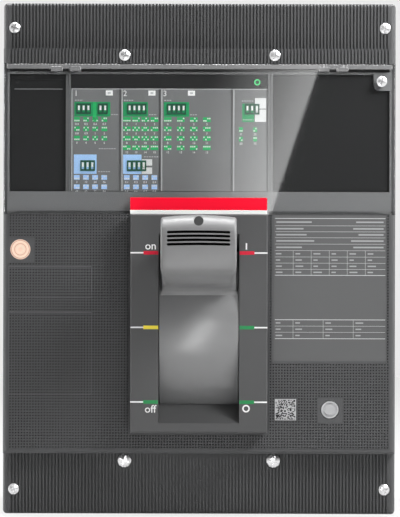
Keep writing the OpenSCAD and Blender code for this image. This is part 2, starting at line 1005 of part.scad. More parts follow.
module clear_cover() {
    width = body_w - 0.6;
    half = width / 2 - clear_rim_w;
    strip_half = surround_w / 2 + 1;
    color([0.8, 0.85, 0.9, 0.3])
        difference() {
            union() {
                difference() {
                    from_end(clear_bottom, clear_top)
                        front_rounded_section(width, clear_seat_d, clear_face_d, clear_edge_r);
                    box(-half, half, clear_seat_d - 1, clear_back_d, clear_bottom + clear_rim_w,
                        clear_top - clear_rim_w);
                    box(-strip_half, strip_half, clear_seat_d - 1, clear_back_d,
                        clear_bottom - 1, clear_bottom + clear_rim_w + 1);
                }
                for (side = sides)
                    hinge_tongue(side * hinge_x);
            }
            rod(seal_x, seal_z, clear_seat_d - 1, clear_face_d + 1,
                screw_shank_d + 2 * screw_fit);
        }
}

// ---- trip unit and panels ----

module trip_unit() {
    top = window_top - header_h - 0.2;
    groove = 1;
    color("#77797b")
        difference() {
            box(trip_left + panel_fit, trip_right - panel_fit, window_floor_d, trip_face_d,
                window_bottom + panel_fit, top);
            for (x = column_x)
                box(x - groove / 2, x + groove / 2, trip_face_d - 0.7, trip_face_d + 1,
                    window_bottom, top + 1);
            for (row = switch_rows)
                switch_pocket(row);
            for (x = light_x)
                light_shape(x, -0.5, 1);
        }
}

module trip_unit_header() {
    color("#242628")
        difference() {
            box(trip_left + panel_fit, trip_right - panel_fit, window_floor_d, trip_face_d + 0.3,
                window_top - header_h, window_top - panel_fit);
            ready_shape(1, 3.6);
        }
}

module rating_panel() {
    color("#242628")
        difference() {
            box(-window_half + panel_fit, trip_left - divider_w - panel_fit, window_floor_d,
                panel_face_d, window_bottom + panel_fit, window_top - panel_fit);
            rating_window();
        }
}

// A shallow window for the rating, in the upper part of the rating panel.
module rating_window() {
    box(-window_half + 1.6, trip_left - divider_w - 1.2, panel_face_d - 0.5, panel_face_d + 1,
        window_top - 7.4, window_top - 3);
}

module blank_panel() {
    color("#2b2d2f")
        difference() {
            box(trip_right + divider_w + panel_fit, window_half - panel_fit, window_floor_d,
                panel_face_d, window_bottom + panel_fit, window_top - panel_fit);
            seal_corner(-panel_fit);
            box(window_half - 3, window_half + 1, 0, cover_d, window_top - 3, window_top + 1);
        }
}

// ---- switches and lights ----

function switch_width(row) = row[2] * switch_pitch + 0.2;

switch_h = 5.7;
switch_rise = 0.5;
switch_sink = 2;

module switch_pocket(row) {
    w = switch_width(row) / 2 + 0.1;
    z = window_top - row[1];
    box(row[0] - w, row[0] + w, trip_face_d - switch_sink, trip_face_d + 1,
        z - switch_h / 2 - 0.1, z + switch_h / 2 + 0.1);
}

// Places its children at each lever of a switch block.
module each_lever(row) {
    for (i = [0 : row[2] - 1])
        translate([row[0] + (i - (row[2] - 1) / 2) * switch_pitch, 0, window_top - row[1]])
            children();
}

module switch_blocks() {
    color("#0f5a35")
        for (row = switch_rows)
            difference() {
                translate([row[0], 0, window_top - row[1]])
                    box(-switch_width(row) / 2, switch_width(row) / 2, trip_face_d - switch_sink,
                        trip_face_d + switch_rise, -switch_h / 2, switch_h / 2);
                each_lever(row)
                    box(-0.65, 0.65, trip_face_d - 1, trip_face_d + 1, -1.9, 1.9);
            }
}

module switch_levers() {
    color("white")
        for (row = switch_rows)
            each_lever(row)
                box(-0.5, 0.5, trip_face_d - 1, trip_face_d + 0.3, -0.7, 1.7);
}

// A rectangular light, from a depth below the trip unit's face to a height above it.
module light_shape(x, below, above) {
    z = window_top - 10.1;
    box(x - 1.9, x + 1.9, trip_face_d + below, trip_face_d + above, z - 1.35, z + 1.35);
}

module indicator_lights() {
    color("white")
        for (x = light_x)
            light_shape(x, -0.5, 0.2);
}

module ready_shape(rise, d) {
    rod(trip_right - 5.9, window_top - 4.2, trip_face_d - 0.4, trip_face_d + rise, d);
}

module ready_light() {
    color("#1fae5c")
        difference() {
            ready_shape(0.5, 3.4);
            translate([0, -0.5, 0])
                ready_shape(1, 1.8);
        }
}

// ---- strips and plates ----

strip_t = 0.4;
trim_h = 2.2;
strip_h = 6.7;

module name_strip() {
    z0 = clear_bottom + trim_h;
    color("#e8102e")
        box(-surround_w / 2, surround_w / 2, clear_seat_d, clear_seat_d + strip_t, z0, z0 + strip_h);
}

module strip_trim() {
    color("white")
        box(-surround_w / 2, surround_w / 2, clear_seat_d, clear_seat_d + strip_t, clear_bottom,
            clear_bottom + trim_h);
}

// The plates are let in flush. Each shape reaches a little past the face where it cuts.
module data_plate_shape(past) {
    box(data_left, data_right, cover_d - plate_t, cover_d + past,
        clear_bottom - 0.5 - data_plate_h, clear_bottom - 0.5);
}

module code_plate_shape(past) {
    box(code_left, code_left + code_plate_w, cover_d - plate_t, cover_d + past, code_bottom,
        code_bottom + code_plate_w);
}

module round_seal_shape(past) {
    rod(seal_centre[0], seal_centre[1], cover_d - plate_t, cover_d + past, seal_d);
}

module data_plate() {
    color("#55585a")
        data_plate_shape(0);
}

module code_plate() {
    color("#9a9c9e")
        code_plate_shape(0);
}

module round_seal() {
    color("#d9c6b0")
        round_seal_shape(0);
}

// ---- terminals ----

module terminal_bar(pole) {
    x = pole * pole_pitch;
    z0 = z_top - bay_l - bar_seat;
    z1 = z_top - bar_setback;
    corner_r = 2;
    color("#c8843c")
        difference() {
            translate([x, 0, (z0 + z1) / 2])
                from_front(bar_d, bar_d + bar_t)
                    rounded_outline(bar_w, z1 - z0, corner_r);
            for (side = sides)
                rod(x + side * bar_hole_pitch / 2, z_top - bar_hole_inset, bar_d - 1,
                    bar_d + bar_t + 1, bar_hole_d);
        }
}

module line_bar_left() {
    terminal_bar(-1);
}

module line_bar_middle() {
    terminal_bar(0);
}

module line_bar_right() {
    terminal_bar(1);
}

module load_bar_left() {
    mirror([0, 0, 1])
        terminal_bar(-1);
}

module load_bar_middle() {
    mirror([0, 0, 1])
        terminal_bar(0);
}

module load_bar_right() {
    mirror([0, 0, 1])
        terminal_bar(1);
}

// ---- screws ----

module corner_screws() {
    color("silver")
        both_ends()
            for (side = sides)
                screw(side * (half_w - corner_screw_x), z_top - corner_screw_z,
                    base_d - screw_grip, terminal_d - head_recess, screw_head_d);
}

module main_cover_screws() {
    color("silver")
        for (side = sides)
            screw(side * inner_x, inner_z, base_d - screw_grip, cover_d - head_recess,
                screw_head_d);
}

module load_cover_screws() {
    color("silver")
        for (side = sides)
            screw(side * inner_x, load_screw_z, base_d - screw_grip, terminal_d - head_recess,
                large_head_d);
}

module clear_cover_screw() {
    color("silver")
        screw(seal_x, seal_z, clear_seat_d - 10, clear_face_d, seal_head_d);
}

base();
main_cover();
window_frame();
line_terminal_cover();
load_terminal_cover();
surround();
lever_grip();
lever_skirt();
lever_pin();
test_button();
clear_cover();
trip_unit();
trip_unit_header();
rating_panel();
blank_panel();
switch_blocks();
switch_levers();
indicator_lights();
ready_light();
name_strip();
strip_trim();
data_plate();
code_plate();
round_seal();
line_bar_left();
line_bar_middle();
line_bar_right();
load_bar_left();
load_bar_middle();
load_bar_right();
corner_screws();
main_cover_screws();
load_cover_screws();
clear_cover_screw();
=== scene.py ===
"""Looks of a three-pole moulded circuit breaker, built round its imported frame.

Scene lengths are metres, +Z is up, +X is to the right and the front faces -Y. The classes below
hold their sizes in millimetres, as they would stand on a drawing, and depths are counted from
the back mounting face towards the front.
"""

import json
import logging
import math
import random
from dataclasses import dataclass
from enum import Enum
from typing import Any, Optional, Union

import bmesh
import bpy
from mathutils import Matrix, Quaternion, Vector


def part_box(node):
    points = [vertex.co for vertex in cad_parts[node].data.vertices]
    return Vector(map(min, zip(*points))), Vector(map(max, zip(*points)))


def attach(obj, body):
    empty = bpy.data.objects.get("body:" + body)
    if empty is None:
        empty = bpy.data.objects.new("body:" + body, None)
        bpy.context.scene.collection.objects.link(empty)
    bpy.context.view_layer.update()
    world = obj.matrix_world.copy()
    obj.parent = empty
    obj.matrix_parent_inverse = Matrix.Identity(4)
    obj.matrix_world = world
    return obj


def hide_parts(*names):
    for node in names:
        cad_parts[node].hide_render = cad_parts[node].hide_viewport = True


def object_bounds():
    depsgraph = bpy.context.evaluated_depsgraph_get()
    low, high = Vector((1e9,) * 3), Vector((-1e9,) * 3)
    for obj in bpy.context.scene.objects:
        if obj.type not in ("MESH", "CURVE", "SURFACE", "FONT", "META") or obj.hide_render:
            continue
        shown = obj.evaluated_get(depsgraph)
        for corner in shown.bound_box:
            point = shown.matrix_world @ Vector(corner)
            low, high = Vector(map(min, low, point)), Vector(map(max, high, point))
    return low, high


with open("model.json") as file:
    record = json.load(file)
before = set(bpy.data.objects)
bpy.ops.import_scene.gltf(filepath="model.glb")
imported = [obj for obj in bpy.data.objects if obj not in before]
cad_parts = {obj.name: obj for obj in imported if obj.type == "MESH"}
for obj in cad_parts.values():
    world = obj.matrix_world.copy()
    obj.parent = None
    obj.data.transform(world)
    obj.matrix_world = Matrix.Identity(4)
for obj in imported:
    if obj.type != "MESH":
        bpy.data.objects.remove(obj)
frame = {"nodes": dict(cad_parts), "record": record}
CAD_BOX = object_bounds()

LOG = logging.getLogger("breaker")
MM = 0.001
Colour = tuple[float, float, float]
Place = tuple[float, float, float]
Number = Union[float, "Scalar"]
# Left, right, bottom and top.
Bounds = tuple[float, float, float, float]

BLACK = (0.0, 0.0, 0.0)
WHITE = (1.0, 1.0, 1.0)


class Body(Enum):
    """The bodies of the frame that the added pieces ride on."""

    HOUSING = "housing"
    LEVER = "lever"


# ---- shader maths ----


class Scalar:
    """A shader socket that carries a number and takes part in arithmetic."""

    def __init__(self, graph: "Graph", socket: bpy.types.NodeSocket) -> None:
        """Keeps the socket and the graph that it belongs to.

        Args:
            graph: The graph that new nodes are added to.
            socket: The output socket to wrap.
        """
        self.graph = graph
        self.socket = socket

    def _math(self, operation: str, first: Number, second: Number) -> "Scalar":
        """Adds a Math node.

        Args:
            operation: The Math node's operation.
            first: Its first value.
            second: Its second value.

        Returns:
            The node's result.
        """
        node = self.graph.node("ShaderNodeMath", {"operation": operation}, {0: first, 1: second})
        return Scalar(self.graph, node.outputs[0])

    def __add__(self, other: Number) -> "Scalar":
        """Adds a value."""
        return self._math("ADD", self, other)

    def __radd__(self, other: Number) -> "Scalar":
        """Is added to a value."""
        return self._math("ADD", other, self)

    def __sub__(self, other: Number) -> "Scalar":
        """Subtracts a value."""
        return self._math("SUBTRACT", self, other)

    def __rsub__(self, other: Number) -> "Scalar":
        """Is subtracted from a value."""
        return self._math("SUBTRACT", other, self)

    def __mul__(self, other: Number) -> "Scalar":
        """Multiplies by a value."""
        return self._math("MULTIPLY", self, other)

    def __rmul__(self, other: Number) -> "Scalar":
        """Multiplies a value."""
        return self._math("MULTIPLY", other, self)

    def __truediv__(self, other: Number) -> "Scalar":
        """Divides by a value."""
        return self._math("DIVIDE", self, other)

    def __pow__(self, other: Number) -> "Scalar":
        """Raises to a power."""
        return self._math("POWER", self, other)

    def sine(self) -> "Scalar":
        """Takes the sine."""
        return self._math("SINE", self, 0.0)

    def clamped(self) -> "Scalar":
        """Limits the value to 0 and 1."""
        return self._math("MINIMUM", self._math("MAXIMUM", self, 0.0), 1.0)

    def above(self, edge: float, width: float) -> "Scalar":
        """Rises from 0 to 1 across an edge.

        Args:
            edge: The value at which the rise is half way.
            width: The whole width of the rise.

        Returns:
            The mask.
        """
        return ((self - edge) / width + 0.5).clamped()


class Vec:
    """A shader socket that carries a vector and takes part in arithmetic."""

    def __init__(self, graph: "Graph", socket: bpy.types.NodeSocket) -> None:
        """Keeps the socket and the graph that it belongs to.

        Args:
            graph: The graph that new nodes are added to.
            socket: The output socket to wrap.
        """
        self.graph = graph
        self.socket = socket

    def _math(self, operation: str, first: Any, second: Any) -> bpy.types.Node:
        """Adds a Vector Math node.

        Args:
            operation: The node's operation.
            first: Its first vector.
            second: Its second vector.

        Returns:
            The node.
        """
        values = {0: first, 1: second}
        return self.graph.node("ShaderNodeVectorMath", {"operation": operation}, values)

    def __mul__(self, other: Any) -> "Vec":
        """Multiplies by a vector, one axis at a time."""
        return Vec(self.graph, self._math("MULTIPLY", self, other).outputs["Vector"])

    def __rmul__(self, other: Any) -> "Vec":
        """Multiplies a vector, one axis at a time."""
        return self * other

    def __sub__(self, other: Any) -> "Vec":
        """Subtracts a vector."""
        return Vec(self.graph, self._math("SUBTRACT", self, other).outputs["Vector"])

    def length(self) -> Scalar:
        """Measures the vector."""
        return Scalar(self.graph, self._math("LENGTH", self, (0.0, 0.0, 0.0)).outputs["Value"])

    def axis(self, name: str) -> Scalar:
        """Takes one axis of the vector.

        Args:
            name: X, Y or Z.

        Returns:
            The value along that axis.
        """
        node = self.graph.node("ShaderNodeSeparateXYZ", {}, {"Vector": self})
        return Scalar(self.graph, node.outputs[name])


class Graph:
    """The node tree of one material, or of the world."""

    def __init__(self, name: str, owner: Optional[bpy.types.World] = None) -> None:
        """Starts an empty node tree.

        Args:
            name: The material's name.
            owner: The world, if the tree isn't a new material's.
        """
        self.material = owner or bpy.data.materials.new(name)
        self.material.use_nodes = True
        self.tree = self.material.node_tree
        self.tree.nodes.clear()

    def node(self, kind: str, settings: dict[str, Any], values: dict[Any, Any]) -> bpy.types.Node:
        """Adds a node of any type.

        Args:
            kind: The node's type.
            settings: Attributes that are set first.
            values: What each input socket holds or is linked to.

        Returns:
            The node.
        """
        node = self.tree.nodes.new(kind)
        for key, value in settings.items():
            setattr(node, key, value)
        for key, value in values.items():
            self.put(node.inputs[key], value)
        return node

    def put(self, target: bpy.types.NodeSocket, value: Any) -> None:
        """Links or sets one input socket.

        Args:
            target: The input socket.
            value: A wrapped socket, a socket, a colour or a number.
        """
        if isinstance(value, (Scalar, Vec)):
            self.tree.links.new(value.socket, target)
        elif isinstance(value, bpy.types.NodeSocket):
            self.tree.links.new(value, target)
        elif target.type == "RGBA" and len(value) == 3:
            target.default_value = (*value, 1.0)
        else:
            target.default_value = value

    def position(self) -> Vec:
        """Gives the place on the piece, in metres."""
        return Vec(self, self.node("ShaderNodeTexCoord", {}, {}).outputs["Object"])

    def noise(self, place: Vec, size: float, detail: float = 2.0, warp: float = 0.0) -> Scalar:
        """Adds a noise pattern.

        Args:
            place: The place on the piece.
            size: The size of a patch, in metres.
            detail: How many finer layers it has.
            warp: How far it is distorted.

        Returns:
            A value round 0.5.
        """
        values = {"Vector": place, "Scale": 1.0 / size, "Detail": detail, "Distortion": warp}
        return Scalar(self, self.node("ShaderNodeTexNoise", {}, values).outputs[0])

    def mix(self, share: Number, first: Any, second: Any) -> bpy.types.NodeSocket:
        """Mixes two colours.

        Args:
            share: How much of the second colour there is.
            first: The first colour.
            second: The second colour.

        Returns:
            The mixed colour.
        """
        values = {0: share, 6: first, 7: second}
        return self.node("ShaderNodeMix", {"data_type": "RGBA"}, values).outputs[2]

    def bump(self, height: Scalar, distance: float) -> bpy.types.NodeSocket:
        """Turns a height into a normal.

        Args:
            height: The height, as a share of the distance.
            distance: The height that 1 stands for, in metres.

        Returns:
            The normal.
        """
        values = {"Height": height, "Distance": distance, "Strength": 1.0}
        return self.node("ShaderNodeBump", {}, values).outputs["Normal"]

    def surface(self, values: dict[str, Any]) -> bpy.types.NodeSocket:
        """Adds the main shader.

        Args:
            values: What its sockets hold or are linked to.

        Returns:
            The shader's output.
        """
        return self.node("ShaderNodeBsdfPrincipled", {}, values).outputs[0]

    def shown_rays(self) -> Scalar:
        """Gives 1 to the rays that see the studio: the camera's, and those in gloss and glass."""
        path = self.node("ShaderNodeLightPath", {}, {})
        camera, glossy, through = (
            Scalar(self, path.outputs[name])
            for name in ("Is Camera Ray", "Is Glossy Ray", "Is Transmission Ray")
        )
        return (camera + glossy + through).clamped()

    def close(self, shader: bpy.types.NodeSocket) -> bpy.types.Material:
        """Links a shader to the output.

        Args:
            shader: The shader's output.

        Returns:
            The finished material.
        """
        self.node("ShaderNodeOutputMaterial", {}, {"Surface": shader})
        return self.material


# ---- finishes ----


def scaled(colour: Colour, factor: float) -> Colour:
    """Makes a colour lighter or darker.

    Args:
        colour: The colour, linear.
        factor: What each channel is multiplied by.

    Returns:
        The new colour, no lighter than white.
    """
    return tuple(min(1.0, channel * factor) for channel in colour)


@dataclass(frozen=True)
class MouldedPlastic:
    """A moulding with spark-eroded grain and faint flow marks.

    The sizes of the grain, of its relief and of a flow mark are in metres. Mottle and wear are
    the shares by which the colour and the roughness drift over the piece. A crown bows the
    shading over the piece's width: it is the drop in metres at crown_half from the middle.
    """

    name: str
    colour: Colour
    roughness: float = 0.5
    grain: float = 0.00045
    relief: float = 0.00002
    mottle: float = 0.08
    flow: float = 0.05
    flow_share: float = 0.7
    wear: float = 0.08
    specular: float = 0.5
    coat: float = 0.0
    crown: float = 0.0
    crown_half: float = 0.021

    def material(self) -> bpy.types.Material:
        """Builds the material."""
        graph = Graph(self.name)
        place = graph.position()
        drift = graph.noise(place, self.flow, 3.0, 0.6)
        grain = graph.noise(place, self.grain, 2.0)
        dark = scaled(self.colour, 1.0 - self.mottle)
        light = scaled(self.colour, 1.0 + self.mottle)
        speckle = drift * self.flow_share + grain * (1.0 - self.flow_share)
        height = grain
        if self.crown:
            across = place.axis("X") * (1.0 / self.crown_half)
            height = grain - across * across * (self.crown / self.relief)
        shader = graph.surface(
            {
                "Base Color": graph.mix(speckle.clamped(), dark, light),
                "Roughness": self.roughness * (1.0 - self.wear + 2.0 * self.wear * drift),
                "Specular IOR Level": self.specular,
                "Coat Weight": self.coat,
                "Normal": graph.bump(height, self.relief),
            }
        )
        return graph.close(shader)


@dataclass(frozen=True)
class ClearPlastic:
    """Clear sheet that shows what is behind it and mirrors the studio.

    Seen straight on, it mirrors the base share of the light, and all of it at a glancing angle.
    """

    name: str
    tint: Colour
    base_share: float
    roughness: float
    falloff: float = 5.0

    def material(self) -> bpy.types.Material:
        """Builds the material."""
        graph = Graph(self.name)
        clear = graph.node("ShaderNodeBsdfTransparent", {}, {"Color": self.tint})
        gloss_values = {"Color": WHITE, "Roughness": self.roughness}
        gloss = graph.node("ShaderNodeBsdfAnisotropic", {}, gloss_values)
        weight = graph.node("ShaderNodeLayerWeight", {}, {"Blend": 0.5})
        facing = Scalar(graph, weight.outputs["Facing"])
        mirrored = self.base_share + (1.0 - self.base_share) * facing ** self.falloff
        both = {0: mirrored, 1: clear.outputs[0], 2: gloss.outputs[0]}
        return graph.close(graph.node("ShaderNodeMixShader", {}, both).outputs[0])


@dataclass(frozen=True)
class Metal:
    """Plated or bare metal with turning or rolling marks.

    The grain holds the marks' number per metre along each axis, and the sizes of a stain and
    of the marks' relief are in metres. Marks and stains change the roughness by their shares.
    """

    name: str
    colour: Colour
    roughness: float
    grain: tuple[float, float, float]
    tarnish: Colour
    tarnish_share: float = 0.25
    stain: float = 0.004
    relief: float = 0.000012
    marks_share: float = 0.18
    stain_share: float = 0.12

    def material(self) -> bpy.types.Material:
        """Builds the material."""
        graph = Graph(self.name)
        place = graph.position()
        marks = graph.noise(place * self.grain, 1.0, 3.0)
        stain = graph.noise(place, self.stain, 3.0, 0.8).above(0.55, 0.3)
        roughness = self.roughness + self.marks_share * (marks - 0.5) + self.stain_share * stain
        shader = graph.surface(
            {
                "Base Color": graph.mix(stain * self.tarnish_share, self.colour, self.tarnish),
                "Metallic": 1.0,
                "Roughness": roughness,
                "Normal": graph.bump(marks, self.relief),
            }
        )
        return graph.close(shader)


@dataclass(frozen=True)
class Ink:
    """Screen-printed ink with a slightly uneven coat, in patches of a size in metres."""

    name: str
    colour: Colour
    roughness: float = 0.42
    specular: float = 0.25
    patch: float = 0.0012
    thin: float = 0.93
    thick: float = 1.05
    wear: float = 0.1

    def material(self) -> bpy.types.Material:
        """Builds the material."""
        graph = Graph(self.name)
        coat = graph.noise(graph.position(), self.patch, 2.0)
        thin, thick = scaled(self.colour, self.thin), scaled(self.colour, self.thick)
        shader = graph.surface(
            {
                "Base Color": graph.mix(coat, thin, thick),
                "Roughness": self.roughness * (1.0 - self.wear + 2.0 * self.wear * coat),
                "Specular IOR Level": self.specular,
            }
        )
        return graph.close(shader)


@dataclass(frozen=True)
class SealFilm:
    """A round film sticker, whose colour shifts in rings from its centre.

    The centre, the rings' pitch and the size of a cloudy patch are in metres. The ring's colour
    shows by the shares of the rings and of the cloud, and the haze is what the cloud adds to
    the roughness.
    """

    name: str
    colour: Colour
    ring: Colour
    centre: Place
    pitch: float
    patch: float = 0.0025
    ring_share: float = 0.35
    cloud_share: float = 0.5
    roughness: float = 0.22
    haze: float = 0.12
    coat: float = 0.4

    def material(self) -> bpy.types.Material:
        """Builds the material."""
        graph = Graph(self.name)
        place = graph.position()
        reach = (place - self.centre).length()
        rings = (reach * (math.tau / self.pitch)).sine() * 0.5 + 0.5
        cloud = graph.noise(place, self.patch, 3.0, 1.0)
        shift = (rings * self.ring_share + cloud * self.cloud_share).clamped()
        shader = graph.surface(
            {
                "Base Color": graph.mix(shift, self.colour, self.ring),
                "Roughness": self.roughness + self.haze * cloud,
                "Coat Weight": self.coat,
            }
        )
        return graph.close(shader)


@dataclass(frozen=True)
class Paper:
    """The studio's pale paper, which glows towards the rays that see the studio itself."""

    name: str
    grey: float = 0.62
    glow: float = 0.72

    def material(self) -> bpy.types.Material:
        """Builds the material."""
        graph = Graph(self.name)
        paper = graph.node("ShaderNodeBsdfDiffuse", {}, {"Color": (self.grey,) * 3})
        white = graph.node("ShaderNodeEmission", {}, {"Color": WHITE, "Strength": 1.0})
        both = {0: graph.shown_rays() * self.glow, 1: paper.outputs[0], 2: white.outputs[0]}
        return graph.close(graph.node("ShaderNodeMixShader", {}, both).outputs[0])


@dataclass(frozen=True)
class SlantedGlow:
    """A glowing card that brightens over its width, towards its slanted right edge.

    Lengths are in metres. At the given level the edge stands at reach from the middle, and it
    moves to the right by run with each metre of height. The strength rises from least by rise,
    slowly at first where bend is more than 1.
    """

    name: str
    run: float
    level: float
    reach: float
    width: float
    least: float = 0.08
    rise: float = 3.1
    bend: float = 1.5

    def edge(self, height: Number) -> Number:
        """Gives the place of the right edge at a height."""
        return self.reach + (height - self.level) * self.run

    def material(self) -> bpy.types.Material:
        """Builds the material."""
        graph = Graph(self.name)
        place = graph.position()
        across = (place.axis("X") - self.edge(place.axis("Z"))) / self.width + 1.0
        full = self.least + self.rise
        share = (self.least + self.rise * across.clamped() ** self.bend) / full
        values = {"Color": graph.mix(share, BLACK, WHITE), "Strength": full}
        return graph.close(graph.node("ShaderNodeEmission", {}, values).outputs[0])


Finish = Union[MouldedPlastic, ClearPlastic, Metal, Ink, SealFilm, Paper, SlantedGlow]

COVER = MouldedPlastic("cover_moulding", (0.073, 0.074, 0.076), 0.42, specular=0.25)
BASE = MouldedPlastic("base_moulding", (0.055, 0.056, 0.058), 0.5, mottle=0.1, specular=0.25)
WINDOW_FRAME = MouldedPlastic("frame_moulding", (0.172, 0.173, 0.175), 0.48, mottle=0.04,
                             relief=0.000008, specular=0.3)
# The moulded lines are the cover's plastic painted lighter: a painted highlight for the light that they
# catch.
OUTLINE_HIGHLIGHT = MouldedPlastic("moulded_line_highlight", (0.1, 0.101, 0.103), 0.45, mottle=0.04, specular=0.25)
# Near-black sheet for the lattice's pit floors: painted shade that stands in for the pits' depth.
PIT_SHADE = MouldedPlastic("pit_shade", (0.02, 0.0203, 0.021), 0.6, mottle=0.1, specular=0.1)
RAIL = MouldedPlastic("rail_moulding", (0.165, 0.166, 0.168), 0.45, mottle=0.04, relief=0.000004,
                      specular=0.2, coat=1.0)
SURROUND = MouldedPlastic("surround_moulding", (0.064, 0.0644, 0.0655), 0.5, mottle=0.04,
                          relief=0.000012, specular=0.25)
LEVER = MouldedPlastic("lever_moulding", (0.156, 0.1565, 0.158), 0.38, mottle=0.03,
                       relief=0.000006, specular=0.4)
# The skirt's grey is set lighter than the grip's to make up for the lesser light on it: painted light.
SKIRT_LIGHTENED = MouldedPlastic("skirt_moulding", (0.19, 0.191, 0.193), 0.24, mottle=0.03,
                       relief=0.000002, crown=0.0012)
# Near-black for the walls of the grip's finger grooves: painted shade for their depth.
GROOVE_SHADE = MouldedPlastic("groove_shade", (0.004, 0.004, 0.004), 0.6, mottle=0.1, specular=0.1)
TRIP_FACE = MouldedPlastic("trip_unit_face", (0.176, 0.177, 0.179), 0.5, mottle=0.03,
                           relief=0.000005, specular=0.2)
DARK_PANEL = MouldedPlastic("dark_panel", (0.016, 0.0163, 0.0167), 0.42, mottle=0.05,
                            relief=0.000005, specular=0.15)
SWITCH_GREEN = MouldedPlastic("switch_green", (0.006, 0.085, 0.042), 0.35, mottle=0.05)
WHITE_PLASTIC = MouldedPlastic("white_plastic", (0.93, 0.93, 0.92), 0.35, mottle=0.02,
                               relief=0.00001)
BUTTON_GREY = MouldedPlastic("button_grey", (0.375, 0.379, 0.385), 0.42, mottle=0.03,
                             relief=0.00001)
READY_GREEN = MouldedPlastic("ready_green", (0.012, 0.07, 0.03), 0.3, mottle=0.04)
RED_STRIP = MouldedPlastic("red_strip", (0.96, 0.004, 0.03), 0.42, mottle=0.02,
                           relief=0.000006, specular=0.15)
LABEL_GREY = MouldedPlastic("label_grey", (0.076, 0.077, 0.0785), 0.55, mottle=0.03,
                            relief=0.000008)
CODE_GREY = MouldedPlastic("code_plate_grey", (0.42, 0.423, 0.428), 0.5, mottle=0.03,
                           relief=0.000008)
CLEAR = ClearPlastic("clear_plastic", (0.985, 0.99, 0.99), 0.05, 0.02)
ZINC = Metal("zinc_steel", (0.82, 0.82, 0.83), 0.24, (900.0, 120.0, 900.0), (0.45, 0.43, 0.4))
COPPER = Metal("tinned_copper", (0.78, 0.5, 0.33), 0.3, (60.0, 900.0, 900.0),
               (0.5, 0.26, 0.15), tarnish_share=0.5)

WHITE_INK = Ink("white_ink", (0.74, 0.74, 0.74))
GREY_INK = Ink("grey_ink", (0.3, 0.305, 0.31))
PALE_INK = Ink("pale_ink", (0.5, 0.505, 0.51))
BLACK_INK = Ink("black_ink", (0.012, 0.012, 0.013))
RED_INK = Ink("red_ink", (0.5, 0.007, 0.03))
YELLOW_INK = Ink("yellow_ink", (0.86, 0.72, 0.05))
GREEN_INK = Ink("green_ink", (0.006, 0.2, 0.055))
FIELD_GREEN = Ink("field_green_ink", (0.018, 0.32, 0.115))
RING_GREEN = Ink("ready_ring_ink", (0.1, 0.78, 0.26), 0.3)
BRIGHT_GREEN = Ink("bright_green_ink", (0.02, 0.44, 0.13))
FIELD_BLUE = Ink("field_blue_ink", (0.4, 0.62, 0.95))
SEAL_INK = Ink("seal_ink", (0.55, 0.3, 0.22))
# Ink of the painted glints on the indicator lights.
GLINT_INK = Ink("light_window", (0.55, 0.56, 0.57), 0.2)


# ---- making and reporting pieces ----


def dress(node: str, finish: Finish) -> None:
    """Gives a node of the frame its material.

    Args:
        node: The node's name.
        finish: The finish to build.
    """
    slots = frame["nodes"][node].data.materials
    slots.clear()
    slots.append(finish.material())
    LOG.info("dressed %s in %s", node, finish.name)


def add_piece(name: str, mesh: bpy.types.Mesh, finish: Optional[Finish], body: Body) -> bpy.types.Object:
    """Links a new piece, gives it its material and makes it ride on its body.

    Args:
        name: The piece's name.
        mesh: Its mesh, in metres.
        finish: The finish to build, or None for a mesh that has its materials.
        body: The body that it moves with.

    Returns:
        The piece.
    """
    piece = bpy.data.objects.new(name, mesh)
    bpy.context.scene.collection.objects.link(piece)
    if finish is not None:
        mesh.materials.append(finish.material())
    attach(piece, body.value)
    LOG.info("made %s with %d faces", name, len(mesh.polygons))
    return piece


@dataclass(frozen=True)
class Face:
    """The front of a node, in millimetres: its edges and its depth."""

    left: float
    right: float
    bottom: float
    top: float
    depth: float

    @classmethod
    def of(cls, node: str) -> "Face":
        """Measures a node.

        Args:
            node: The node's name.

        Returns:
            Its front.
        """
        low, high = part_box(node)
        return cls(low.x / MM, high.x / MM, low.z / MM, high.z / MM, -low.y / MM)

    @property
    def x(self) -> float:
        """The middle across."""
        return (self.left + self.right) / 2

    @property
    def z(self) -> float:
        """The middle's height."""
        return (self.bottom + self.top) / 2

    @property
    def radius(self) -> float:
        """Half the width, for a round piece."""
        return (self.right - self.left) / 2


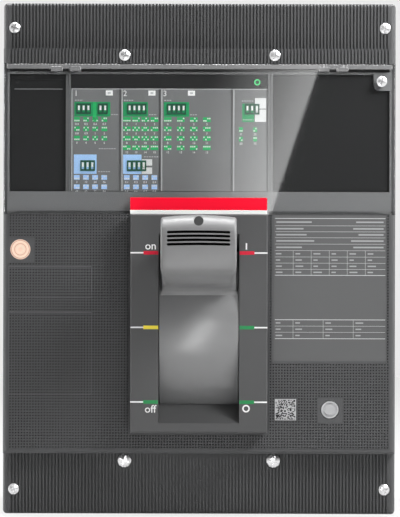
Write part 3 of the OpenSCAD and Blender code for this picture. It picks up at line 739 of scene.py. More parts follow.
class PrintedSheet:
    """Flat shapes printed on a face, gathered into one mesh.

    They stand off the face by LIFT, and a capital is CAPITAL_SHARE of a font's size.
    """

    LIFT = 0.03
    CAPITAL_SHARE = 0.73

    def __init__(self, depth: float) -> None:
        """Starts an empty sheet.

        Args:
            depth: The depth of the printed face, in millimetres.
        """
        self.depth = depth + self.LIFT
        self.mesh = bmesh.new()

    def _vertex(self, x: float, z: float) -> bmesh.types.BMVert:
        """Adds a point of the face."""
        return self.mesh.verts.new((x * MM, -self.depth * MM, z * MM))

    def bar(self, left: float, right: float, bottom: float, top: float) -> None:
        """Adds a rectangle.

        Args:
            left: Its left edge.
            right: Its right edge.
            bottom: Its lower edge.
            top: Its upper edge.
        """
        corners = ((left, bottom), (right, bottom), (right, top), (left, top))
        self.mesh.faces.new([self._vertex(x, z) for x, z in corners])

    def spot(self, x: float, z: float, width: float, height: float) -> None:
        """Adds a rectangle about its centre.

        Args:
            x: The centre across.
            z: The centre's height.
            width: Its width.
            height: Its height.
        """
        self.bar(x - width / 2, x + width / 2, z - height / 2, z + height / 2)

    def outline(self, left: float, right: float, bottom: float, top: float, line: float) -> None:
        """Adds a rectangle drawn as four lines.

        Args:
            left: Its left edge.
            right: Its right edge.
            bottom: Its lower edge.
            top: Its upper edge.
            line: The width of its lines.
        """
        self.bar(left, right, bottom, bottom + line)
        self.bar(left, right, top - line, top)
        self.bar(left, left + line, bottom + line, top - line)
        self.bar(right - line, right, bottom + line, top - line)

    def ring(self, x: float, z: float, outer: float, inner: float, sides: int = 48) -> None:
        """Adds a flat ring.

        Args:
            x: The centre across.
            z: The centre's height.
            outer: Its outer radius.
            inner: Its inner radius.
            sides: How many sides it has.
        """
        turns = [math.tau * i / sides for i in range(sides)]
        rims = [
            [self._vertex(x + r * math.cos(t), z + r * math.sin(t)) for t in turns]
            for r in (outer, inner)
        ]
        for i in range(sides):
            j = (i + 1) % sides
            self.mesh.faces.new((rims[0][i], rims[0][j], rims[1][j], rims[1][i]))

    def word(self, text: str, x: float, z: float, height: float, bold: float) -> None:
        """Adds numerals or a switch's marks.

        Args:
            text: What is printed.
            x: Its middle across.
            z: Its base line's height.
            height: The height of a capital.
            bold: How much its strokes are thickened.
        """
        curve = bpy.data.curves.new("word", "FONT")
        curve.body = text
        curve.align_x = "CENTER"
        curve.size = height / self.CAPITAL_SHARE
        curve.offset = bold
        curve.resolution_u = 3
        holder = bpy.data.objects.new("word", curve)
        bpy.context.scene.collection.objects.link(holder)
        bpy.context.view_layer.update()
        drawn = holder.evaluated_get(bpy.context.evaluated_depsgraph_get())
        flat = bpy.data.meshes.new_from_object(drawn)
        flat.transform(
            Matrix(
                (
                    (MM, 0.0, 0.0, x * MM),
                    (0.0, 0.0, -MM, -self.depth * MM),
                    (0.0, MM, 0.0, z * MM),
                    (0.0, 0.0, 0.0, 1.0),
                )
            )
        )
        self.mesh.from_mesh(flat)
        bpy.data.objects.remove(holder)
        bpy.data.curves.remove(curve)
        bpy.data.meshes.remove(flat)

    def to_piece(self, name: str, finish: Finish, slot: str) -> None:
        """Turns the sheet into a piece that stays with the housing.

        Args:
            name: The piece's name.
            finish: The ink.
            slot: The record's material slot that it belongs to; it is not used.
        """
        mesh = bpy.data.meshes.new(name)
        self.mesh.to_mesh(mesh)
        self.mesh.free()
        mesh.materials.clear()
        add_piece(name, mesh, finish, Body.HOUSING)


@dataclass(frozen=True)
class Tile:
    """A thin tile with round corners and a bevelled rim, in millimetres."""

    left: float
    right: float
    bottom: float
    top: float
    back: float
    front: float
    corner: float
    bevel: float = 0.15
    corner_steps: int = 4

    def _rim(self, inset: float) -> list[tuple[float, float]]:
        """Draws the tile's outline anticlockwise, as seen from the front.

        Args:
            inset: How far it is drawn inwards.

        Returns:
            The points, as x and z.
        """
        left, right = self.left + self.corner, self.right - self.corner
        bottom, top = self.bottom + self.corner, self.top - self.corner
        middles = ((right, top), (left, top), (left, bottom), (right, bottom))
        radius = self.corner - inset
        points = []
        for quarter, (x, z) in enumerate(middles):
            for step in range(self.corner_steps + 1):
                turn = math.pi / 2 * (quarter + step / self.corner_steps)
                points.append((x + radius * math.cos(turn), z + radius * math.sin(turn)))
        return points

    def mesh(self, name: str) -> bpy.types.Mesh:
        """Builds the tile's mesh.

        Args:
            name: The mesh's name.

        Returns:
            The mesh.
        """
        build = bmesh.new()
        levels = ((0.0, self.back), (0.0, self.front - self.bevel), (self.bevel, self.front))
        rims = [
            [build.verts.new((x * MM, -depth * MM, z * MM)) for x, z in self._rim(inset)]
            for inset, depth in levels
        ]
        for rim, beyond in zip(rims, rims[1:]):
            for i in range(len(rim)):
                j = (i + 1) % len(rim)
                build.faces.new((rim[i], rim[j], beyond[j], beyond[i]))
        build.faces.new(list(reversed(rims[0])))
        build.faces.new(rims[-1])
        mesh = bpy.data.meshes.new(name)
        build.to_mesh(mesh)
        build.free()
        return mesh


# ---- sub-assemblies ----


@dataclass
class CoverLattice:
    """The fine raised lattice that is moulded on the lower part of the main cover.

    The slope is how far each side of a pit leans in from the bars' tops to its floor. Edge and
    lip are the bare borders at the cover's sides and at its lower end.
    """

    smooth: list[Bounds]
    pitch: float = 1.53
    height: float = 0.28
    bar: float = 0.52
    slope: float = 0.14
    edge: float = 2.7
    lip: float = 1.5

    def _is_smooth(self, x: float, z: float) -> bool:
        """True if a cell at this place is left out."""
        half = self.pitch / 2
        return any(
            x + half > left and x - half < right and z + half > bottom and z - half < top
            for left, right, bottom, top in self.smooth
        )

    def build(self) -> None:
        """Builds the lattice as one moulded sheet with open square pits, with painted shade on the pits'
        floors.
        """
        cover = Face.of("main_cover")
        top = Face.of("clear_cover").bottom
        bottom = cover.bottom + self.lip
        columns = int((cover.right - cover.left - 2 * self.edge) / self.pitch)
        rows = int((top - bottom) / self.pitch)
        x0 = -columns * self.pitch / 2
        z0 = top - rows * self.pitch
        depth = Face.of("data_plate").depth
        cells = {
            (i, j)
            for i in range(columns)
            for j in range(rows)
            if not self._is_smooth(x0 + (i + 0.5) * self.pitch, z0 + (j + 0.5) * self.pitch)
        }
        mesh = bmesh.new()
        corners: dict[tuple[int, int, bool], bmesh.types.BMVert] = {}

        def corner(i: int, j: int, raised: bool) -> bmesh.types.BMVert:
            """Gives the shared vertex at a corner of the lattice."""
            key = (i, j, raised)
            if key not in corners:
                y = depth + (self.height if raised else 0.0)
                point = Vector((x0 + i * self.pitch, -y, z0 + j * self.pitch)) * MM
                corners[key] = mesh.verts.new(point)
            return corners[key]

        steps = ((0, 0), (1, 0), (1, 1), (0, 1))
        neighbours = ((0, -1), (1, 0), (0, 1), (-1, 0))
        for i, j in sorted(cells):
            outer = [corner(i + a, j + b, True) for a, b in steps]
            rims = []
            for inset, rise in ((self.bar / 2, self.height), (self.bar / 2 + self.slope, 0.0)):
                rim = []
                for a, b in steps:
                    x = x0 + (i + a) * self.pitch + (inset if a == 0 else -inset)
                    z = z0 + (j + b) * self.pitch + (inset if b == 0 else -inset)
                    rim.append(mesh.verts.new(Vector((x, -(depth + rise), z)) * MM))
                rims.append(rim)
            for k in range(4):
                n = (k + 1) % 4
                mesh.faces.new((outer[k], outer[n], rims[0][n], rims[0][k]))
                mesh.faces.new((rims[0][k], rims[0][n], rims[1][n], rims[1][k]))
                beside = (i + neighbours[k][0], j + neighbours[k][1])
                if beside not in cells:
                    low = [corner(i + a, j + b, False) for a, b in (steps[k], steps[n])]
                    mesh.faces.new((low[0], low[1], outer[n], outer[k]))
        data = bpy.data.meshes.new("cover_lattice")
        mesh.to_mesh(data)
        mesh.free()
        add_piece("cover_lattice", data, COVER, Body.HOUSING)
        # A near-black sheet on each pit's floor is painted shade, standing in for the depth of the open
        # pits.
        pits = PrintedSheet(depth)
        pit = self.pitch - self.bar - 2 * self.slope
        for i, j in sorted(cells):
            pits.spot(x0 + (i + 0.5) * self.pitch, z0 + (j + 0.5) * self.pitch, pit, pit)
        pits.to_piece("lattice_pit_shade", PIT_SHADE, "cover_moulding")


@dataclass
class Housing:
    """The base and the covers, with the clear cover's rail and lugs.

    Each lug is given by its near and far edge, counted from the middle. The spaces without
    lattice round the button and the seal are given by half their width and height.
    """

    rail_inset: float = 1.6
    rail_drop: float = 0.2
    rail_height: float = 2.5
    rail_rise: float = 0.3
    rail_depth: float = 1.3
    lugs: tuple[tuple[float, float], ...] = ((63.7, 69.5), (73.4, 79.6))
    lug_drop: float = 1.2
    lug_height: float = 2.5
    lug_rise: float = 0.6
    rail_corner: float = 0.4
    surround_space: float = 0.6
    button_space: tuple[float, float] = (5.7, 6.2)
    seal_space: tuple[float, float] = (6.4, 6.6)
    accessory_edges: tuple[float, float] = (-102.1, -57.4)
    accessory_heights: tuple[tuple[float, float], ...] = ((-21.1, -4.2), (-73.0, -28.6))
    accessory_line: float = 0.5

    def build(self) -> None:
        """Dresses the mouldings and adds the lattice, the moulded lines, the rail and the lugs."""
        dress("base", BASE)
        for node in ("main_cover", "line_terminal_cover", "load_terminal_cover"):
            dress(node, COVER)
        dress("window_frame", WINDOW_FRAME)
        CoverLattice(self._smooth_places()).build()
        self._outlines()
        self._rail()

    def _rail(self) -> None:
        """Lays the clear cover's upper rail and the lugs of its hinges."""
        cover = Face.of("clear_cover")
        top = Face.of("window_frame").top - self.rail_drop
        back = cover.depth + self.rail_rise - self.rail_depth
        left, right = cover.left + self.rail_inset, cover.right - self.rail_inset
        bottom, front = top - self.rail_height, cover.depth + self.rail_rise
        self._trim("upper_rail", Tile(left, right, bottom, top, back, front, self.rail_corner))
        spans = [(-far, -near) for near, far in self.lugs] + list(self.lugs)
        top -= self.lug_drop
        bottom, front = top - self.lug_height, cover.depth + self.lug_rise
        for i, (left, right) in enumerate(spans):
            lug = Tile(left, right, bottom, top, back, front, self.rail_corner)
            self._trim(f"hinge_lug_{i}", lug)

    @staticmethod
    def _trim(name: str, tile: Tile) -> None:
        """Adds a tile of the window frame's moulding.

        Args:
            name: The piece's name.
            tile: Its shape.
        """
        add_piece(name, tile.mesh(name), RAIL, Body.HOUSING)

    def _smooth_places(self) -> list[Bounds]:
        """Lists the places without lattice."""
        surround, cover = Face.of("surround"), Face.of("main_cover")
        gap = self.surround_space
        places = [(surround.left - gap, surround.right + gap, surround.bottom - gap, cover.top)]
        for node in ("data_plate", "code_plate"):
            plate = Face.of(node)
            places.append((plate.left, plate.right, plate.bottom, plate.top))
        for node, (half, rise) in (
            ("test_button", self.button_space),
            ("round_seal", self.seal_space),
        ):
            face = Face.of(node)
            places.append((face.x - half, face.x + half, face.z - rise, face.z + rise))
        return places

    def _outlines(self) -> None:
        """Draws the thin moulded lines round the two accessory spaces, painted lighter than the cover as
        a painted highlight.
        """
        sheet = PrintedSheet(Face.of("data_plate").depth + CoverLattice.height)
        for heights in self.accessory_heights:
            sheet.outline(*self.accessory_edges, *heights, self.accessory_line)
        sheet.to_piece("accessory_outlines", OUTLINE_HIGHLIGHT, "cover_moulding")


@dataclass
class Plates:
    """The data plate, the code plate, the round seal and the test button.

    Rules are counted down from the data plate's top, and columns from its left edge.
    """

    rules: tuple[float, ...] = (1.6, 5.5, 8.7, 11.9, 15.3, 18.8, 22.2, 25.5, 28.8, 32.0)
    table_rules: int = 5
    columns: tuple[float, ...] = (10.3, 19.9, 29.6, 39.2, 48.9)
    lower_rules: tuple[float, ...] = (55.8, 59.2, 62.5, 65.9)
    lower_columns: tuple[float, ...] = (10.3, 26.4, 42.5)
    inset: float = 0.6
    outer_rule: float = 0.32
    inner_rule: float = 0.16
    column_rule: float = 0.14
    first_dash: float = 1.0
    dash_gap: float = 1.2
    cell_dash: float = 0.7
    line_dash: float = 0.8
    line_end: float = 1.6
    code_cells: int = 21
    code_margin: float = 0.4
    code_share: float = 0.47
    seal_rings: tuple[tuple[float, float], ...] = ((0.93, 0.86), (0.6, 0.55))
    seal_pitch: float = 2.4
    seed: int = 7

    def build(self) -> None:
        """Dresses the plates, the seal and the button, and prints their marks."""
        dress("data_plate", LABEL_GREY)
        dress("code_plate", CODE_GREY)
        seal = Face.of("round_seal")
        centre = (seal.x * MM, -seal.depth * MM, seal.z * MM)
        film = SealFilm("seal_film", (0.85, 0.73, 0.6), (0.88, 0.5, 0.36), centre,
                        self.seal_pitch * MM)
        dress("round_seal", film)
        dress("test_button", BUTTON_GREY)
        self._data_plate()
        self._code_plate()
        self._seal(seal)

    def _data_plate(self) -> None:
        """Prints the rules of the two tables and plain dashes in their cells."""
        plate = Face.of("data_plate")
        sheet = PrintedSheet(plate.depth)
        dashes = PrintedSheet(plate.depth)
        draw = random.Random(self.seed)
        for rules in (self.rules, self.lower_rules):
            for i, drop in enumerate(rules):
                width = self.outer_rule if i in (0, len(rules) - 1) else self.inner_rule
                z = plate.top - drop
                sheet.bar(plate.left + self.inset, plate.right - self.inset, z - width / 2,
                          z + width / 2)
        for rules, columns in (
            (self.rules[-self.table_rules:], self.columns),
            (self.lower_rules, self.lower_columns),
        ):
            low, high = plate.top - rules[-1], plate.top - rules[0]
            for column in columns:
                x = plate.left + column
                sheet.bar(x - self.column_rule / 2, x + self.column_rule / 2, low, high)
            starts = (self.first_dash, *(x + self.dash_gap for x in columns))
            half = self.cell_dash / 2
            for upper, lower in zip(rules, rules[1:]):
                z = plate.top - (upper + lower) / 2
                for start in starts:
                    left = plate.left + start
                    dashes.bar(left, left + draw.uniform(2.2, 4.6), z - half, z + half)
        half = self.line_dash / 2
        lines = self.rules[:self.table_rules + 1]
        for upper, lower in zip(lines, lines[1:]):
            z = plate.top - (upper + lower) / 2
            end = plate.left + draw.uniform(12.0, 24.0)
            dashes.bar(plate.left + self.dash_gap, end, z - half, z + half)
            start = plate.right - draw.uniform(12.0, 22.0)
            dashes.bar(start, plate.right - self.line_end, z - half, z + half)
        sheet.to_piece("data_plate_rules", PALE_INK, "label_grey")
        dashes.to_piece("data_plate_dashes", GREY_INK, "label_grey")

    def _code_plate(self) -> None:
        """Prints a chequered pattern of no meaning on the code plate."""
        plate = Face.of("code_plate")
        sheet = PrintedSheet(plate.depth)
        draw = random.Random(self.seed + 1)
        left, bottom = plate.left + self.code_margin, plate.bottom + self.code_margin
        cell = (plate.right - plate.left - 2 * self.code_margin) / self.code_cells
        for row in range(self.code_cells):
            for column in range(self.code_cells):
                if draw.random() < self.code_share:
                    x, z = left + column * cell, bottom + row * cell
                    sheet.bar(x, x + cell, z, z + cell)
        sheet.to_piece("code_plate_cells", BLACK_INK, "label_grey")

    def _seal(self, seal: Face) -> None:
        """Prints plain rings on the seal.

        Args:
            seal: The seal's front.
        """
        sheet = PrintedSheet(seal.depth)
        for outer, inner in self.seal_rings:
            sheet.ring(seal.x, seal.z, seal.radius * outer, seal.radius * inner)
        sheet.to_piece("seal_rings", SEAL_INK, "seal_film")


@dataclass
class Surround:
    """The raised surround with its position marks.

    Heights of the words and signs are counted from the mark of their own position: up from
    the first one for on, and down from the last one for off.
    """

    slot_half: float = 21.4
    slot_gap: float = 0.1
    coloured: float = 8.0
    coloured_height: float = 1.9
    line_height: float = 0.75
    line_end: float = 0.05
    first_mark: float = 3.1
    mark_pitch: float = 39.5
    word_x: float = -25.6
    word_height: float = 4.2
    bold: float = 0.035
    on_rise: float = 1.8
    off_drop: float = 5.6
    stroke: tuple[float, float] = (24.7, 25.45)
    stroke_height: float = 3.4
    circle_x: float = 25.1
    circle_drop: float = 3.4
    circle: tuple[float, float] = (2.0, 1.25)

    def build(self) -> None:
        """Dresses the surround and prints its marks."""
        dress("surround", SURROUND)
        face = Face.of("surround")
        white = PrintedSheet(face.depth)
        inks = {ink: PrintedSheet(face.depth) for ink in (RED_INK, YELLOW_INK, GREEN_INK)}
        marks = ((RED_INK, RED_INK), (YELLOW_INK, GREEN_INK), (GREEN_INK, GREEN_INK))
        near, far = self.slot_half + self.slot_gap, self.slot_half + self.coloured
        for i, (left_ink, right_ink) in enumerate(marks):
            z = self.first_mark - i * self.mark_pitch
            half = self.coloured_height / 2
            inks[left_ink].bar(-far, -near, z - half, z + half)
            inks[right_ink].bar(near, far, z - half, z + half)
            half = self.line_height / 2
            white.bar(face.left + self.line_end, -far, z - half, z + half)
            white.bar(far, face.right - self.line_end, z - half, z + half)
        rise = self.first_mark + self.on_rise
        last = self.first_mark - (len(marks) - 1) * self.mark_pitch
        white.word("on", self.word_x, rise, self.word_height, self.bold)
        white.word("off", self.word_x, last - self.off_drop, self.word_height, self.bold)
        white.bar(*self.stroke, rise, rise + self.stroke_height)
        white.ring(self.circle_x, last - self.circle_drop, *self.circle)
        white.to_piece("position_marks_white", WHITE_INK, "surround_moulding")
        for ink, sheet in inks.items():
            name = "position_marks_" + ink.name.removesuffix("_ink")
            sheet.to_piece(name, ink, "surround_moulding")


@dataclass(frozen=True)
class Station:
    """A point of the grip's side view, with half the width there and the side edge's radius."""

    depth: float
    height: float
    half: float
    radius: float


@dataclass
class GripLoft:
    """The lever's grip, lofted across its width from a smooth side view.

    Depths are counted from the pivot. Heights are counted from the point where the lever's own
    direction meets the skirt. Half, waist and root are half the grip's width at its tip, at its
    waist and at the skirt. From arch_start up to arch_top, its middle comes to stand higher than
    its sides by arch.
    """

    skirt_radius: float = 60.0
    tip: float = 101.0
    half: float = 19.65
    waist: float = 19.0
    root: float = 21.0
    arch: float = 1.1
    arch_start: float = 18.6
    arch_top: float = 34.3
    steps: int = 6
    across: int = 20
    round_steps: int = 5

    def _stations(self) -> list[Station]:
        """Lists the side view's points, along the underside, round the tip and back on top."""
        skirt, tip = self.skirt_radius, self.tip
        half, waist, root = self.half, self.waist, self.root
        return [
            Station(skirt - 9.0, -13.2, root, 0.4),
            Station(skirt - 4.6, -10.6, root, 0.4),
            Station(skirt - 2.7, -7.8, root - 0.1, 0.5),
            Station(skirt - 2.2, -5.6, waist + 1.2, 1.0),
            Station(skirt - 0.3, -3.7, waist + 0.6, 1.8),
            Station(skirt + 3.5, -2.6, waist + 0.1, 2.4),
            Station(skirt + 10.0, -1.9, waist, 2.6),
            Station(tip - 22.0, -1.3, waist, 2.6),
            Station(tip - 12.0, 0.6, waist, 2.6),
            Station(tip - 6.0, 2.6, waist + 0.3, 2.4),
            Station(tip - 2.8, 4.6, half - 0.1, 2.0),
            Station(tip - 1.3, 7.4, half, 1.6),
            Station(tip - 0.4, 12.0, half, 1.5),
            Station(tip, 18.0, half, 1.5),
            Station(tip - 0.3, 24.4, half, 1.5),
            Station(tip - 1.8, 29.6, half, 1.5),
            Station(tip - 5.6, 33.2, half, 1.5),
            Station(tip - 10.2, 34.3, half, 1.5),
            Station(tip - 14.4, 32.7, half, 1.5),
            Station(tip - 20.0, 29.4, waist + 0.2, 1.8),
            Station(tip - 24.0, 26.8, waist + 0.1, 2.0),
            Station(skirt + 11.0, 23.8, waist, 2.0),
            Station(skirt + 5.0, 20.6, waist, 2.0),
            Station(skirt - 2.0, 17.2, waist, 1.8),
            Station(skirt - 8.0, 14.6, waist + 0.9, 1.2),
            Station(skirt - 14.4, 11.6, root, 0.6),
            Station(skirt - 22.0, 6.6, root, 0.4),
        ]

    def _outline(self) -> list[Vector]:
        """Draws the smooth side view. Each point holds depth, height, half width and radius."""
        knots = [Vector((s.depth, s.height, s.half, s.radius)) for s in self._stations()]
        last = len(knots) - 1
        outline = []
        for i in range(last):
            a, b, c, d = knots[max(i - 1, 0)], knots[i], knots[i + 1], knots[min(i + 2, last)]
            for step in range(self.steps):
                t = step / self.steps
                outline.append(
                    0.5 * (
                        2.0 * b
                        + (c - a) * t
                        + (2.0 * a - 5.0 * b + 4.0 * c - d) * t ** 2
                        + (3.0 * b - a - 3.0 * c + d) * t ** 3
                    )
                )
        return outline + [knots[last]]

    def _slice(self, outline: list[Vector], share: float, turn: float) -> list[Vector]:
        """Draws the side view at one place across the grip.

        Args:
            outline: The side view.
            share: The place across, from -1 to 1.
            turn: The turn round the side edge, from 0 on the side to a right angle on the top.

        Returns:
            The points, as x, depth and height.
        """
        points = []
        for i, point in enumerate(outline):
            along = outline[(i + 1) % len(outline)] - outline[i - 1]
            away = Vector((along.y, -along.x)).normalized() * point.w * (1 - math.sin(turn))
            half = point.z - point.w * (1 - math.cos(turn))
            lift = max(0.0, point.y - self.arch_start) / (self.arch_top - self.arch_start)
            height = point.y - away.y - self.arch * lift * share ** 2
            points.append(Vector((share * half, point.x - away.x, height)))
        return points

    def mesh(self) -> bmesh.types.BMesh:
        """Lofts the grip. The points are x, depth and height."""
        outline = self._outline()
        turns = [math.pi / 2 * i / self.round_steps for i in range(self.round_steps)]
        slices = [self._slice(outline, -1.0, turn) for turn in turns]
        slices += [
            self._slice(outline, 2.0 * i / self.across - 1.0, math.pi / 2)
            for i in range(self.across + 1)
        ]
        slices += [self._slice(outline, 1.0, turn) for turn in reversed(turns)]
        mesh = bmesh.new()
        rings = [[mesh.verts.new(point) for point in ring] for ring in slices]
        n = len(outline)
        for ring, beyond in zip(rings, rings[1:]):
            for i in range(n):
                j = (i + 1) % n
                mesh.faces.new((ring[i], ring[j], beyond[j], beyond[i]))
        mesh.faces.new(list(reversed(rings[0])))
        mesh.faces.new(rings[-1])
        return mesh


@dataclass
class Lever:
    """The toggle lever: a smooth grip with finger grooves and a hole, the skirt and the pin.

    The grooves lie on arcs of a radius, groove_arch. Swing is the angle from the lever's middle
    place to its rest, and crease the angle from which an edge is shaded sharp, in degrees.
    """

    groove_count: int = 4
    groove_length: float = 32.6
    groove_width: float = 1.3
    groove_depth: float = 5.0
    groove_pitch: float = 2.1
    first_groove: float = 25.6
    groove_arch: float = 420.0
    groove_steps: int = 8
    hole: float = 5.0
    hole_height: float = 31.2
    hole_sides: int = 48
    cutter_reach: float = 2.0
    swing: float = 25.0
    crease: float = 32.0

    def build(self) -> None:
        """Makes the grip and dresses the rest of the lever."""
        loft = GripLoft()
        moulding = LEVER.material()
        hole, grooves = bmesh.new(), bmesh.new()
        self._hole(hole, loft)
        for i in range(self.groove_count):
            self._groove(grooves, loft.tip, self.first_groove - i * self.groove_pitch)
        body = self._to_mesh("grip_blank", loft.mesh(), moulding)
        body = self._cut(body, self._to_mesh("grip_hole", hole, moulding))
        # The grooves' walls keep the cutters' near-black material: painted shade in the grooves.
        body = self._cut(body, self._to_mesh("grip_grooves", grooves, GROOVE_SHADE.material()))
        body.transform(self._placing(loft))
        body.shade_smooth()
        body.set_sharp_from_angle(angle=math.radians(self.crease))
        piece = add_piece("grip", body, None, Body.LEVER)
        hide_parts("lever_grip")
        # The skirt's finish is painted lighter to make up for the shade on it.
        dress("lever_skirt", SKIRT_LIGHTENED)
        dress("lever_pin", ZINC)

    def _placing(self, loft: GripLoft) -> Matrix:
        """Gives the matrix from x, depth and height to the scene.

        Args:
            loft: The grip's loft.

        Returns:
            The matrix.
        """
        pivot = frame["record"]["behaviour"]["joints"][0]["pos_m"]
        root = pivot[2] + loft.skirt_radius * math.sin(math.radians(self.swing)) * MM
        return Matrix(
            (
                (MM, 0.0, 0.0, 0.0),
                (0.0, -MM, 0.0, pivot[1]),
                (0.0, 0.0, MM, root),
                (0.0, 0.0, 0.0, 1.0),
            )
        )

    @staticmethod
    def _to_mesh(name: str, source: bmesh.types.BMesh,
                 material: bpy.types.Material) -> bpy.types.Mesh:
        """Turns a bmesh into a mesh.

        Args:
            name: The mesh's name.
            source: The bmesh, which is freed.
            material: Its material.

        Returns:
            The mesh.
        """
        mesh = bpy.data.meshes.new(name)
        bmesh.ops.recalc_face_normals(source, faces=source.faces)
        source.to_mesh(mesh)
        source.free()
        mesh.materials.append(material)
        return mesh

    @staticmethod
    def _prism(target: bmesh.types.BMesh, outline: list[tuple[float, float]], near: float,
               far: float) -> None:
        """Adds a prism along the depth.

        Args:
            target: What it is added to.
            outline: Its corners, as x and height.
            near: The depth of its back.
            far: The depth of its front.
        """
        rims = [[target.verts.new((x, depth, z)) for x, z in outline] for depth in (near, far)]
        n = len(outline)
        for i in range(n):
            j = (i + 1) % n
            target.faces.new((rims[0][i], rims[0][j], rims[1][j], rims[1][i]))
        target.faces.new(list(reversed(rims[0])))
        target.faces.new(rims[1])

    def _groove(self, target: bmesh.types.BMesh, tip: float, height: float) -> None:
        """Adds the cutter of one slightly arched groove with round ends.

        Args:
            target: What it is added to.
            tip: The depth of the grip's front.
            height: The height of the groove's middle.
        """
        radius = self.groove_width / 2
        reach = (self.groove_length - self.groove_width) / 2
        arch, steps = self.groove_arch, self.groove_steps
        end = height + math.sqrt(arch ** 2 - reach ** 2) - arch
        outline = []
        for side in (1, -1):
            for i in range(2 * steps + 1):
                x = side * reach * (1 - i / steps)
                drop = math.sqrt(arch ** 2 - x ** 2) - arch
                outline.append((x, height + drop + side * radius))
            for i in range(1, steps):
                turn = math.pi / 2 + math.pi * i / steps
                x = side * (radius * math.cos(turn) - reach)
                outline.append((x, end + side * radius * math.sin(turn)))
        self._prism(target, outline, tip - self.groove_depth, tip + self.cutter_reach)

    def _hole(self, target: bmesh.types.BMesh, loft: GripLoft) -> None:
        """Adds the cutter of the round hole.

        Args:
            target: What it is added to.
            loft: The grip's loft.
        """
        turns = [math.tau * i / self.hole_sides for i in range(self.hole_sides)]
        radius = self.hole / 2
        outline = [(radius * math.cos(t), self.hole_height + radius * math.sin(t)) for t in turns]
        self._prism(target, outline, loft.skirt_radius, loft.tip + self.cutter_reach)

    @staticmethod
    def _cut(blank: bpy.types.Mesh, cutters: bpy.types.Mesh) -> bpy.types.Mesh:
        """Cuts one mesh out of another. The cut faces keep the cutters' material.

        Args:
            blank: What is cut.
            cutters: What is taken away.

        Returns:
            The cut mesh.
        """
        holders = [bpy.data.objects.new(mesh.name, mesh) for mesh in (blank, cutters)]
        for holder in holders:
            bpy.context.scene.collection.objects.link(holder)
        cut = holders[0].modifiers.new("cut", "BOOLEAN")
        cut.operation = "DIFFERENCE"
        cut.solver = "EXACT"
        cut.material_mode = "TRANSFER"
        cut.object = holders[1]
        bpy.context.view_layer.update()
        done = holders[0].evaluated_get(bpy.context.evaluated_depsgraph_get())
        result = bpy.data.meshes.new_from_object(done)
        for holder in holders:
            bpy.data.objects.remove(holder)
        return result


@dataclass(frozen=True)
class SettingGroup:
    """A block of setting diagrams under a switch.

    X and z are the middle of its first diagram, and each diagram shows a number in dots.
    """

    x: float
    z: float
    columns: int
    rows: int
    pitch: float
    dots: int
    labels: tuple[str, ...]
    blue: bool = False


